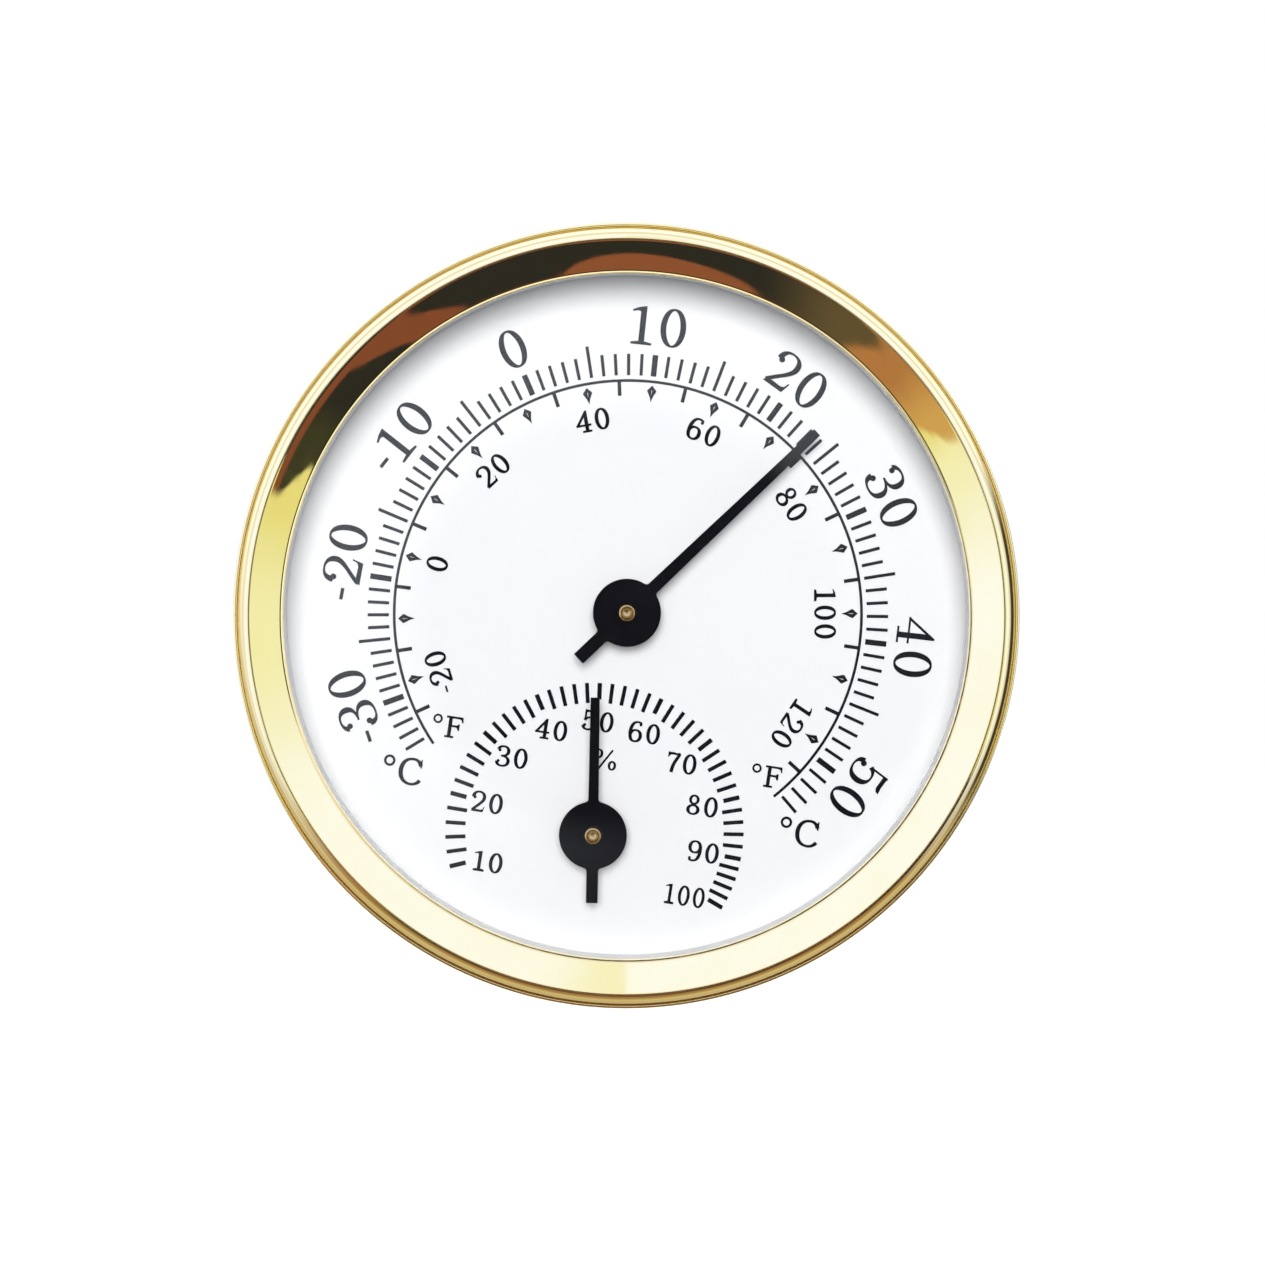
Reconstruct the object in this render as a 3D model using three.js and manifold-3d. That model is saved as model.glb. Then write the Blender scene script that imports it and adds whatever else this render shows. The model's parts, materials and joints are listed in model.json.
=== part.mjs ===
// A round dial thermometer and hygrometer in a pressed gold-coloured case, made to hang on a wall.
//
// Units are millimetres. +Z is up, the dial faces -Y, and the origin is the centre of the back face.
// A "height" is a distance in front of the back face, so a height h lies in the plane y = -h.
// Each movement is a coil on a spindle: the coil's outer end is held, and its inner end turns the pointer.

import * as THREE from "three";
import { mergeVertices } from "three/addons/utils/BufferGeometryUtils.js";
import Module from "manifold-3d";

const wasm = await Module();
wasm.setup();

// ---------------------------------------------------------------- driving dimensions

const CASE_RADIUS = 36; // the bead, the widest place
const DEPTH = 15; // back face to the bezel's crest
const SHEET = 0.6; // thickness of the pressed metal
const FIT = 0.05; // radial gap of parts pressed or screwed together
const RUN = 0.06; // radial gap of a spindle in its bush

// The case is a cup with a narrow lower part, a ledge for the plates, a wider mouth and a rolled bead.
const MOUTH_RADIUS = 34.2;
const CUP_RADIUS = 33;
const CUP_CORNER = 3;
const LEDGE_HEIGHT = 7.1;
const MOUTH_HEIGHT = 13.2;
const BEAD_HEIGHT = 12.1;
const BEAD_HALF = 0.7;

// The bezel's face slopes in from the crest to the lip that holds the lens.
const CREST_RADIUS = 34.27;
const SKIRT_RADIUS = 35.4;
const LIP_RADIUS = 31.3;
const LIP_THICKNESS = 0.35;
const CREST_ROUND = 0.22;
const BEZEL_SHOULDER = 1.1; // how far the outer flank falls before it turns down into the skirt
const BEZEL_METAL = 0.78; // thickness of the folded bezel at its crest

// Plates, spacer and lens are stacked on the ledge and fill the mouth.
const STACK_RADIUS = MOUTH_RADIUS - SHEET - 2 * FIT;
const PLATE_THICKNESS = 0.6;
const DIAL_THICKNESS = 0.5;
const LENS_THICKNESS = 1.5;
const SPACER_INNER_RADIUS = 32;
const DIAL_BACK = LEDGE_HEIGHT + PLATE_THICKNESS;
const DIAL_FACE = DIAL_BACK + DIAL_THICKNESS;
const LENS_BACK = MOUTH_HEIGHT - LENS_THICKNESS;

// A tab in the case's wall fits notches in both plates, so that the dial's top is under the keyhole's slot.
const KEY_WIDTH = 2;
const KEY_DEPTH = 0.5;
const KEY_GAP = 0.3;

// The two spindles. Angles turn clockwise from straight up, as seen from the front.
const TEMP = { z: 0.4, restDeg: 37.9, bladeLength: 24.2, bladeRoot: 1.14, bladeTip: 0.8, tail: 6.2, tailWidth: 1.22 };
const HUM = { z: -20.5, restDeg: -7.5, bladeLength: 12.8, bladeRoot: 0.94, bladeTip: 0.84, tail: 6.3, tailWidth: 1.08 };
const HUB_RADIUS = 3.15;
const POINTER_HEIGHT = 10;
const POINTER_THICKNESS = 0.35;

const SPINDLE_RADIUS = 0.5;
const SPINDLE_TIP = 10.5;
const SPINDLE_POINT = 0.15; // chamfer on each end
const BOSS_RADIUS = 0.82;
const BOSS_COLLAR_RADIUS = 1.3;
const BOSS_BACK = 9.3;
const BOSS_FRONT = 10.75;
const BUSH_RADIUS = 1.5;
const BUSH_FLANGE_RADIUS = 2.4;
const BUSH_FLANGE = 0.5;
const BUSH_FRONT = 8.6;
const RIVET_PROUD = 0.2; // how far riveted bushes and posts stand out behind a bridge
const SPINDLE_PROUD = 0.4; // how far the thermometer's spindle passes its bridge

// Coils, and the collets and posts that hold their ends.
const COIL_THICKNESS = 0.35;
const COIL_BACK = 3;
const COIL_HEIGHT = 3;
const COIL_INNER_RADIUS = 1.75;
const TEMP_COIL = { outerRadius: 10.3, turns: 7, postTop: 6.3 };
const HUM_COIL = { outerRadius: 8.3, turns: 6, postTop: 6.3 };
const COLLET_RADIUS = 1.55;
const COLLET_BACK = 3.3;
const COLLET_HEIGHT = 2.4;
const POST_RADIUS = 0.8;
const POST_SPIGOT_RADIUS = 0.5;
const POST_SLOT = 0.75;

// Bridges: a flat web behind each coil, two legs, and two feet screwed to the back of the movement plate.
const WEB_HEIGHT = 1.7;
const BRIDGE_WIDTH = 5;
const FOOT_LENGTH = 4;
const TEMP_BRIDGE_HALF = 12;
const HUM_BRIDGE_HALF = 10.6;
const SCREW_RADIUS = 0.7;
const SCREW_HEAD_RADIUS = 1.3;
const SCREW_HEAD = 0.8;
const SCREW_SLOT = 0.35;
const SCREW_TIP_GAP = 0.1;

// The slotted adjuster turns the hygrometer coil's outer end, to set the pointer from the back.
const ADJUSTER_BACK = 0.9;
const ADJUSTER_HEAD = 0.7;
const ADJUSTER_HEAD_RADIUS = 1.8;
const ADJUSTER_BARREL_RADIUS = 1.2;
const ADJUSTER_FRONT = 2.95;
const ADJUSTER_SOCKET_FLOOR = 2;
const END_PLAY = 0.1; // room behind the hygrometer's spindle
const WASHER_THICKNESS = 0.15;
const WASHER_RADIUS = 2.5;
const ARM_THICKNESS = 0.35;
const ARM_WIDTH = 2.4;
const ARM_SHOULDER = Math.PI / 6; // where the arm leaves its round eye

// Openings in the back of the case.
const KEYHOLE = { z: 20, radius: 3, slotTop: 25.5, slotRadius: 1.6 };
const ACCESS_RADIUS = 2.1;
const VENT = { length: 9, radius: 0.8, xs: [7, 11, 15], zs: [HUM.z, 4] };

const ROUND = 60; // segments round the case
const FINE = 24; // segments round a small turned part
const CORNER_STEPS = 3; // segments in a small arc of a profile
const HALF_TURN_STEPS = 8; // segments in each arc of a flat shape
const COIL_STEPS = 18; // segments in each turn of a coil
const CUTTER = 1; // how far a cutting solid runs past the metal
const MERGE_DISTANCE = 1e-5;

// ---------------------------------------------------------------- materials

const material = (color, roughness, metalness, extra = {}) =>
  new THREE.MeshStandardMaterial({ color, roughness, metalness, ...extra });

const GOLD = material(0xe6cf73, 0.12, 1);
const CLEAR = material(0xffffff, 0.02, 0, { transparent: true, opacity: 0.2 });
const WHITE_PLASTIC = material(0xf2f2f0, 0.45, 0);
const WHITE_LACQUER = material(0xf8f8f8, 0.35, 0);
const STEEL = material(0xb9bcc0, 0.35, 1);
const BRASS = material(0xc9a24e, 0.25, 1);
const BLACK_PAINT = material(0x16161a, 0.5, 0);
const BIMETAL = material(0xa89f92, 0.3, 1);
const HYGRO_STRIP = material(0xb7a58a, 0.55, 0.3);

// ---------------------------------------------------------------- making and cutting solids

// A closed solid from a three.js geometry: corners merged, empty triangles dropped, faces pointing out.
function solid(geometry) {
  const bare = geometry.clone();
  bare.deleteAttribute("normal");
  bare.deleteAttribute("uv");
  const merged = mergeVertices(bare, MERGE_DISTANCE);
  const corners = merged.index.array;
  const kept = [];
  for (let i = 0; i < corners.length; i += 3) {
    const [a, b, c] = [corners[i], corners[i + 1], corners[i + 2]];
    if (a !== b && b !== c && c !== a) kept.push(a, b, c);
  }
  const made = (order) =>
    new wasm.Manifold(
      new wasm.Mesh({
        numProp: 3,
        vertProperties: merged.attributes.position.array,
        triVerts: new Uint32Array(order),
      }),
    );
  const body = made(kept);
  return body.volume() > 0 ? body : made(kept.reverse());
}

// The three.js geometry of a solid, with flat faces.
function geometryOf(body) {
  const { numProp, numVert, vertProperties, triVerts } = body.getMesh();
  const positions = new Float32Array(numVert * 3);
  for (let i = 0; i < numVert; i++) {
    positions.set(vertProperties.subarray(i * numProp, i * numProp + 3), i * 3);
  }
  const geometry = new THREE.BufferGeometry();
  geometry.setAttribute("position", new THREE.BufferAttribute(positions, 3));
  geometry.setIndex(new THREE.BufferAttribute(triVerts, 1));
  const flat = geometry.toNonIndexed();
  flat.computeVertexNormals();
  return flat;
}

const cut = (body, ...tools) => tools.reduce((left, tool) => left.subtract(solid(tool)), body);

// A turned part: the profile is a list of [radius, height], and it turns about the Y axis.
function turned(profile, segments = FINE) {
  const points = profile.map(([radius, height]) => new THREE.Vector2(radius, height));
  return new THREE.LatheGeometry(points, segments).rotateX(Math.PI);
}

// A flat plate: the shape's x and y become x and z, and it stands from `base` to `base + thickness`.
function plate(shape, base, thickness) {
  return new THREE.ExtrudeGeometry(shape, {
    depth: thickness,
    bevelEnabled: false,
    curveSegments: HALF_TURN_STEPS / 2,
  })
    .rotateX(Math.PI / 2)
    .translate(0, -base, 0);
}

// A box from two opposite corners given as [x, height, z].
function block([x0, h0, z0], [x1, h1, z1]) {
  return new THREE.BoxGeometry(x1 - x0, h1 - h0, z1 - z0).translate((x0 + x1) / 2, -(h0 + h1) / 2, (z0 + z1) / 2);
}

// Profile points on an arc, in degrees: 0 points outwards and 90 points to the front.
function arc(radius, height, round, fromDeg, toDeg, steps = CORNER_STEPS) {
  return Array.from({ length: steps + 1 }, (_, i) => {
    const angle = THREE.MathUtils.degToRad(fromDeg + ((toDeg - fromDeg) * i) / steps);
    return [radius + round * Math.cos(angle), height + round * Math.sin(angle)];
  });
}

function circle(x, z, radius, segments) {
  return Array.from({ length: segments }, (_, i) => {
    const angle = (2 * Math.PI * i) / segments;
    return new THREE.Vector2(x + radius * Math.cos(angle), z + radius * Math.sin(angle));
  });
}

const disc = (radius, segments = ROUND) => new THREE.Shape(circle(0, 0, radius, segments));

const circleHole = (x, z, radius, segments = FINE) => new THREE.Path(circle(x, z, radius, segments).reverse());

// A slot with round ends, from z0 to z1 between the centres of its ends.
function slot(x, z0, z1, radius) {
  const shape = new THREE.Shape();
  shape.absarc(x, z1, radius, 0, Math.PI, false);
  shape.absarc(x, z0, radius, Math.PI, 2 * Math.PI, false);
  return shape;
}

function named(name, geometry, finish) {
  const mesh = new THREE.Mesh(geometry, finish);
  mesh.name = name;
  return mesh;
}

const cutThrough = (shape, base, thickness) => plate(shape, base - CUTTER, thickness + 2 * CUTTER);

// ---------------------------------------------------------------- case, bezel, lens

function caseShell() {
  const flat = CUP_RADIUS - CUP_CORNER;
  const beadCentre = CASE_RADIUS - BEAD_HALF;
  const ledgeBack = LEDGE_HEIGHT - SHEET;
  const profile = [
    [0, 0],
    ...arc(flat, CUP_CORNER, CUP_CORNER, -90, 0),
    [CUP_RADIUS, ledgeBack],
    [MOUTH_RADIUS, ledgeBack],
    [MOUTH_RADIUS, BEAD_HEIGHT - BEAD_HALF],
    ...arc(beadCentre, BEAD_HEIGHT, BEAD_HALF, -90, 90, 2 * CORNER_STEPS),
    [MOUTH_RADIUS, BEAD_HEIGHT + BEAD_HALF],
    [MOUTH_RADIUS, MOUTH_HEIGHT],
    [MOUTH_RADIUS - SHEET, MOUTH_HEIGHT],
    [MOUTH_RADIUS - SHEET, LEDGE_HEIGHT],
    [CUP_RADIUS - SHEET, LEDGE_HEIGHT],
    ...arc(flat, CUP_CORNER, CUP_CORNER - SHEET, 0, -90),
    [0, SHEET],
  ];
  const wall = MOUTH_RADIUS - SHEET;
  const key = block(
    [-KEY_WIDTH / 2, LEDGE_HEIGHT - SHEET / 2, -wall - SHEET / 2],
    [KEY_WIDTH / 2, DIAL_BACK, -wall + KEY_DEPTH],
  );
  const round = new THREE.Shape(circle(0, KEYHOLE.z, KEYHOLE.radius, FINE));
  const access = new THREE.Shape(circle(0, HUM.z, ACCESS_RADIUS, FINE));
  const halfVent = VENT.length / 2 - VENT.radius;
  const vents = VENT.zs.flatMap((z) =>
    VENT.xs.flatMap((x) => [-x, x]).map((x) => slot(x, z - halfVent, z + halfVent, VENT.radius)),
  );
  const openings = [round, slot(0, KEYHOLE.z, KEYHOLE.slotTop, KEYHOLE.slotRadius), access, ...vents];
  const shell = solid(turned(profile, ROUND)).add(solid(key));
  return named("case_shell", geometryOf(cut(shell, ...openings.map((s) => cutThrough(s, 0, SHEET)))), GOLD);
}

function bezelRing() {
  const seat = BEAD_HEIGHT + BEAD_HALF;
  const flankSteps = 5;
  const flank = Array.from({ length: flankSteps + 1 }, (_, i) => {
    const angle = (i * Math.PI) / 2 / flankSteps;
    return [
      CREST_RADIUS + (SKIRT_RADIUS - CREST_RADIUS) * Math.sin(angle),
      DEPTH - BEZEL_SHOULDER * (1 - Math.cos(angle)),
    ];
  });
  const slope = (DEPTH - MOUTH_HEIGHT - LIP_THICKNESS) / (CREST_RADIUS - LIP_RADIUS);
  const skirtInner = MOUTH_RADIUS + 2 * FIT;
  const profile = [
    [LIP_RADIUS, MOUTH_HEIGHT],
    [LIP_RADIUS, MOUTH_HEIGHT + LIP_THICKNESS],
    [CREST_RADIUS - CREST_ROUND, DEPTH - CREST_ROUND * slope],
    ...flank,
    [SKIRT_RADIUS, seat],
    [skirtInner, seat],
    [skirtInner, DEPTH - BEZEL_METAL],
    [LIP_RADIUS + SHEET, MOUTH_HEIGHT],
    [LIP_RADIUS, MOUTH_HEIGHT],
  ];
  return named("bezel_ring", geometryOf(solid(turned(profile, ROUND))), GOLD);
}

function lens() {
  return named("lens", plate(disc(STACK_RADIUS), LENS_BACK, LENS_THICKNESS), CLEAR);
}

function spacerRing() {
  const shape = disc(STACK_RADIUS);
  shape.holes.push(circleHole(0, 0, SPACER_INNER_RADIUS, ROUND));
  return named("spacer_ring", plate(shape, DIAL_FACE, LENS_BACK - DIAL_FACE), WHITE_PLASTIC);
}

// ---------------------------------------------------------------- plates

// Both plates share their outline, the notch for the case's tab and the holes for the two front bushes.
function notchedPlate(base, thickness, holes = []) {
  const shape = disc(STACK_RADIUS);
  shape.holes.push(circleHole(0, TEMP.z, BUSH_RADIUS + FIT), circleHole(0, HUM.z, BUSH_RADIUS + FIT), ...holes);
  const half = KEY_WIDTH / 2 + KEY_GAP;
  const notchTop = -(MOUTH_RADIUS - SHEET) + KEY_DEPTH + KEY_GAP;
  const notch = block([-half, base - CUTTER, -CASE_RADIUS], [half, base + thickness + CUTTER, notchTop]);
  return geometryOf(cut(solid(plate(shape, base, thickness)), notch));
}

function dialPlate() {
  return named("dial_plate", notchedPlate(DIAL_BACK, DIAL_THICKNESS), WHITE_LACQUER);
}

const screwPlaces = (movement, bridgeHalf) => [-1, 1].map((side) => [side * (bridgeHalf + FOOT_LENGTH / 2), movement.z]);

function movementPlate() {
  const places = [...screwPlaces(TEMP, TEMP_BRIDGE_HALF), ...screwPlaces(HUM, HUM_BRIDGE_HALF)];
  const holes = places.map(([x, z]) => circleHole(x, z, SCREW_RADIUS + FIT));
  return named("movement_plate", notchedPlate(LEDGE_HEIGHT, PLATE_THICKNESS, holes), STEEL);
}

// ---------------------------------------------------------------- bridges and their screws

// The hat-shaped bridge, with its spindle hole at the origin of its movement.
function bridge(name, half, holeRadius, postX) {
  const web = WEB_HEIGHT;
  const top = LEDGE_HEIGHT;
  const outline = [
    [-half - FOOT_LENGTH, top],
    [-half - FOOT_LENGTH, top - SHEET],
    [-half, top - SHEET],
    [-half, web],
    [half, web],
    [half, top - SHEET],
    [half + FOOT_LENGTH, top - SHEET],
    [half + FOOT_LENGTH, top],
    [half - SHEET, top],
    [half - SHEET, web + SHEET],
    [-half + SHEET, web + SHEET],
    [-half + SHEET, top],
  ];
  const strip = new THREE.ExtrudeGeometry(new THREE.Shape(outline.map(([x, h]) => new THREE.Vector2(x, h))), {
    depth: BRIDGE_WIDTH,
    bevelEnabled: false,
  })
    .rotateX(Math.PI)
    .translate(0, 0, BRIDGE_WIDTH / 2);
  const hole = (x, radius, base) => cutThrough(new THREE.Shape(circle(x, 0, radius, FINE)), base, SHEET);
  const tools = [hole(0, holeRadius, web)];
  for (const side of [-1, 1]) {
    tools.push(hole(side * (half + FOOT_LENGTH / 2), SCREW_RADIUS + FIT, top - SHEET));
  }
  if (postX) tools.push(hole(postX, POST_SPIGOT_RADIUS + FIT, web));
  return named(name, geometryOf(cut(solid(strip), ...tools)), STEEL);
}

// A slotted screw with its head behind a bridge's foot.
function bridgeScrew(name, x) {
  const headFront = LEDGE_HEIGHT - SHEET;
  const headBack = headFront - SCREW_HEAD;
  const chamfer = 0.2;
  const profile = [
    [0, headBack],
    [SCREW_HEAD_RADIUS - chamfer, headBack],
    [SCREW_HEAD_RADIUS, headBack + chamfer],
    [SCREW_HEAD_RADIUS, headFront],
    [SCREW_RADIUS, headFront],
    [SCREW_RADIUS, DIAL_BACK - SCREW_TIP_GAP],
    [0, DIAL_BACK - SCREW_TIP_GAP],
  ];
  const slotBox = block(
    [-SCREW_SLOT / 2, headBack - CUTTER, -CUTTER - SCREW_HEAD_RADIUS],
    [SCREW_SLOT / 2, headBack + SCREW_SLOT, CUTTER + SCREW_HEAD_RADIUS],
  );
  const screw = named(name, geometryOf(cut(solid(turned(profile)), slotBox)), STEEL);
  screw.position.x = x;
  return screw;
}

// ---------------------------------------------------------------- bushes, spindles, collets, coils

function frontBush(name) {
  const bore = SPINDLE_RADIUS + RUN;
  const profile = [
    [bore, LEDGE_HEIGHT - BUSH_FLANGE],
    [BUSH_FLANGE_RADIUS, LEDGE_HEIGHT - BUSH_FLANGE],
    [BUSH_FLANGE_RADIUS, LEDGE_HEIGHT],
    [BUSH_RADIUS, LEDGE_HEIGHT],
    [BUSH_RADIUS, BUSH_FRONT],
    [bore, BUSH_FRONT],
    [bore, LEDGE_HEIGHT - BUSH_FLANGE],
  ];
  return named(name, geometryOf(solid(turned(profile))), BRASS);
}

function rearBush(name) {
  const bore = SPINDLE_RADIUS + RUN;
  const seat = WEB_HEIGHT + SHEET;
  const flangeRadius = 2;
  const flange = 0.4;
  const back = WEB_HEIGHT - RIVET_PROUD;
  const profile = [
    [bore, back],
    [ADJUSTER_BARREL_RADIUS, back],
    [ADJUSTER_BARREL_RADIUS, seat],
    [flangeRadius, seat],
    [flangeRadius, seat + flange],
    [bore, seat + flange],
    [bore, back],
  ];
  return named(name, geometryOf(solid(turned(profile))), BRASS);
}

function spindle(name, back) {
  const narrow = SPINDLE_RADIUS - SPINDLE_POINT;
  const profile = [
    [0, back],
    [narrow, back],
    [SPINDLE_RADIUS, back + SPINDLE_POINT],
    [SPINDLE_RADIUS, SPINDLE_TIP - SPINDLE_POINT],
    [narrow, SPINDLE_TIP],
    [0, SPINDLE_TIP],
  ];
  return named(name, geometryOf(solid(turned(profile))), BRASS);
}

function collet(name) {
  const shape = disc(COLLET_RADIUS, FINE);
  shape.holes.push(circleHole(0, 0, SPINDLE_RADIUS + FIT));
  return named(name, plate(shape, COLLET_BACK, COLLET_HEIGHT), BRASS);
}

// A flat spiral strip that ends on the +X side, inside its post's slot.
function coil(name, { outerRadius, turns }, finish) {
  const steps = turns * COIL_STEPS;
  const edge = (offset) =>
    Array.from({ length: steps + 1 }, (_, i) => {
      const radius = COIL_INNER_RADIUS + ((outerRadius - COIL_INNER_RADIUS) * i) / steps + offset;
      const angle = (2 * Math.PI * (i - steps)) / COIL_STEPS;
      return new THREE.Vector2(radius * Math.cos(angle), radius * Math.sin(angle));
    });
  const half = COIL_THICKNESS / 2;
  const end = [-half, half].map((offset) => new THREE.Vector2(outerRadius + offset, POST_RADIUS));
  const outline = [...edge(half), end[1], end[0], ...edge(-half).reverse()];
  return named(name, plate(new THREE.Shape(outline), COIL_BACK, COIL_HEIGHT), finish);
}

// The slotted post that grips a coil's outer end, with a spigot riveted into the sheet behind it.
function coilPost(name, x, seat, spigotBack, top) {
  const profile = [
    [0, spigotBack],
    [POST_SPIGOT_RADIUS, spigotBack],
    [POST_SPIGOT_RADIUS, seat],
    [POST_RADIUS, seat],
    [POST_RADIUS, top],
    [0, top],
  ];
  const slotBox = block(
    [-POST_SLOT / 2, COIL_BACK - FIT, -CUTTER - POST_RADIUS],
    [POST_SLOT / 2, top + CUTTER, CUTTER + POST_RADIUS],
  );
  const post = named(name, geometryOf(cut(solid(turned(profile)), slotBox)), BRASS);
  post.position.x = x;
  return post;
}

// ---------------------------------------------------------------- pointers

// The blade points up in the shape, with the hub disc at the origin and a square counterweight tail below.
function pointer(name, { bladeLength, bladeRoot, bladeTip, tail, tailWidth }) {
  const rootAngle = Math.asin(bladeRoot / 2 / HUB_RADIUS);
  const tailAngle = Math.asin(tailWidth / 2 / HUB_RADIUS);
  const shape = new THREE.Shape();
  shape.moveTo(bladeTip / 2, bladeLength);
  shape.lineTo(-bladeTip / 2, bladeLength);
  shape.absarc(0, 0, HUB_RADIUS, Math.PI / 2 + rootAngle, 1.5 * Math.PI - tailAngle, false);
  shape.lineTo(-tailWidth / 2, -tail);
  shape.lineTo(tailWidth / 2, -tail);
  shape.absarc(0, 0, HUB_RADIUS, 1.5 * Math.PI + tailAngle, 2.5 * Math.PI - rootAngle, false);
  shape.holes.push(circleHole(0, 0, BOSS_RADIUS + FIT));
  return named(name, plate(shape, POINTER_HEIGHT, POINTER_THICKNESS), BLACK_PAINT);
}

function pointerBoss(name) {
  const bore = SPINDLE_RADIUS + FIT;
  const flare = 0.1;
  const profile = [
    [bore, BOSS_BACK],
    [BOSS_COLLAR_RADIUS, BOSS_BACK],
    [BOSS_COLLAR_RADIUS, POINTER_HEIGHT],
    [BOSS_RADIUS, POINTER_HEIGHT],
    [BOSS_RADIUS, BOSS_FRONT - flare],
    [BOSS_RADIUS - flare, BOSS_FRONT],
    [bore, BOSS_FRONT - flare],
    [bore, BOSS_BACK],
  ];
  return named(name, geometryOf(solid(turned(profile))), BRASS);
}

// Everything that turns with one pointer, turned to its rest reading.
function turningParts(prefix, movement, spindleBack) {
  const group = new THREE.Group();
  group.add(
    pointer(`${prefix}_pointer`, movement),
    pointerBoss(`${prefix}_pointer_boss`),
    spindle(`${prefix}_spindle`, spindleBack),
    collet(`${prefix}_collet`),
  );
  group.rotation.y = THREE.MathUtils.degToRad(movement.restDeg);
  return group;
}

// ---------------------------------------------------------------- hygrometer adjuster

function adjuster() {
  const headFront = ADJUSTER_BACK + ADJUSTER_HEAD;
  const socket = SPINDLE_RADIUS + RUN;
  const profile = [
    [0, ADJUSTER_BACK],
    [ADJUSTER_HEAD_RADIUS, ADJUSTER_BACK],
    [ADJUSTER_HEAD_RADIUS, headFront],
    [ADJUSTER_BARREL_RADIUS, headFront],
    [ADJUSTER_BARREL_RADIUS, ADJUSTER_FRONT],
    [socket, ADJUSTER_FRONT],
    [socket, ADJUSTER_SOCKET_FLOOR],
    [0, ADJUSTER_SOCKET_FLOOR],
  ];
  const slotBox = block(
    [-SCREW_SLOT, ADJUSTER_BACK - CUTTER, -CUTTER - ADJUSTER_HEAD_RADIUS],
    [SCREW_SLOT, ADJUSTER_BACK + SCREW_SLOT, CUTTER + ADJUSTER_HEAD_RADIUS],
  );
  return named("hum_adjuster", geometryOf(cut(solid(turned(profile)), slotBox)), BRASS);
}

const WASHER_BACK = WEB_HEIGHT + SHEET;
const ARM_BACK = WASHER_BACK + WASHER_THICKNESS;

function frictionWasher() {
  const shape = disc(WASHER_RADIUS, FINE);
  shape.holes.push(circleHole(0, 0, ADJUSTER_BARREL_RADIUS + FIT));
  return named("hum_friction_washer", plate(shape, WASHER_BACK, WASHER_THICKNESS), STEEL);
}

// The arm is pressed on the adjuster's barrel and carries the post of the hygrometer coil.
function adjusterArm() {
  const shape = new THREE.Shape();
  shape.absarc(0, 0, ARM_WIDTH, ARM_SHOULDER, 2 * Math.PI - ARM_SHOULDER, false);
  shape.absarc(HUM_COIL.outerRadius, 0, ARM_WIDTH / 2, -Math.PI / 2, Math.PI / 2, false);
  shape.holes.push(
    circleHole(0, 0, ADJUSTER_BARREL_RADIUS + FIT),
    circleHole(HUM_COIL.outerRadius, 0, POST_SPIGOT_RADIUS + FIT),
  );
  return named("hum_adjuster_arm", plate(shape, ARM_BACK, ARM_THICKNESS), STEEL);
}

// ---------------------------------------------------------------- the two movements

function thermometerMovement() {
  const group = new THREE.Group();
  const screwX = TEMP_BRIDGE_HALF + FOOT_LENGTH / 2;
  const seat = WEB_HEIGHT + SHEET;
  const riveted = WEB_HEIGHT - RIVET_PROUD;
  group.add(
    bridge("temp_bridge", TEMP_BRIDGE_HALF, ADJUSTER_BARREL_RADIUS + FIT, TEMP_COIL.outerRadius),
    bridgeScrew("temp_bridge_screw_left", -screwX),
    bridgeScrew("temp_bridge_screw_right", screwX),
    frontBush("temp_front_bush"),
    rearBush("temp_rear_bush"),
    coilPost("temp_coil_post", TEMP_COIL.outerRadius, seat, riveted, TEMP_COIL.postTop),
    coil("temp_coil", TEMP_COIL, BIMETAL),
    turningParts("temp", TEMP, WEB_HEIGHT - SPINDLE_PROUD),
  );
  group.position.z = TEMP.z;
  return group;
}

function hygrometerMovement() {
  const group = new THREE.Group();
  const screwX = HUM_BRIDGE_HALF + FOOT_LENGTH / 2;
  const seat = ARM_BACK + ARM_THICKNESS;
  group.add(
    bridge("hum_bridge", HUM_BRIDGE_HALF, ADJUSTER_BARREL_RADIUS + RUN),
    bridgeScrew("hum_bridge_screw_left", -screwX),
    bridgeScrew("hum_bridge_screw_right", screwX),
    frontBush("hum_front_bush"),
    adjuster(),
    frictionWasher(),
    adjusterArm(),
    coilPost("hum_coil_post", HUM_COIL.outerRadius, seat, ARM_BACK, HUM_COIL.postTop),
    coil("hum_coil", HUM_COIL, HYGRO_STRIP),
    turningParts("hum", HUM, ADJUSTER_SOCKET_FLOOR + END_PLAY),
  );
  group.position.z = HUM.z;
  return group;
}

// ---------------------------------------------------------------- the whole instrument

const instrument = new THREE.Group();
instrument.add(
  caseShell(),
  bezelRing(),
  lens(),
  spacerRing(),
  dialPlate(),
  movementPlate(),
  thermometerMovement(),
  hygrometerMovement(),
);

export default instrument;
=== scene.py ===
"""A round dial thermometer and hygrometer in a gold-coloured case, seen from the front against white.

Shapes are written in millimetres. +Z is up, the dial faces -Y, and a height is a distance in front of
the flat back of the case. Clock angles turn clockwise from straight up, as seen from the front.
"""

import json
import math

import bmesh
import bpy
from mathutils import Matrix, Vector
from mathutils.geometry import delaunay_2d_cdt


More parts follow.
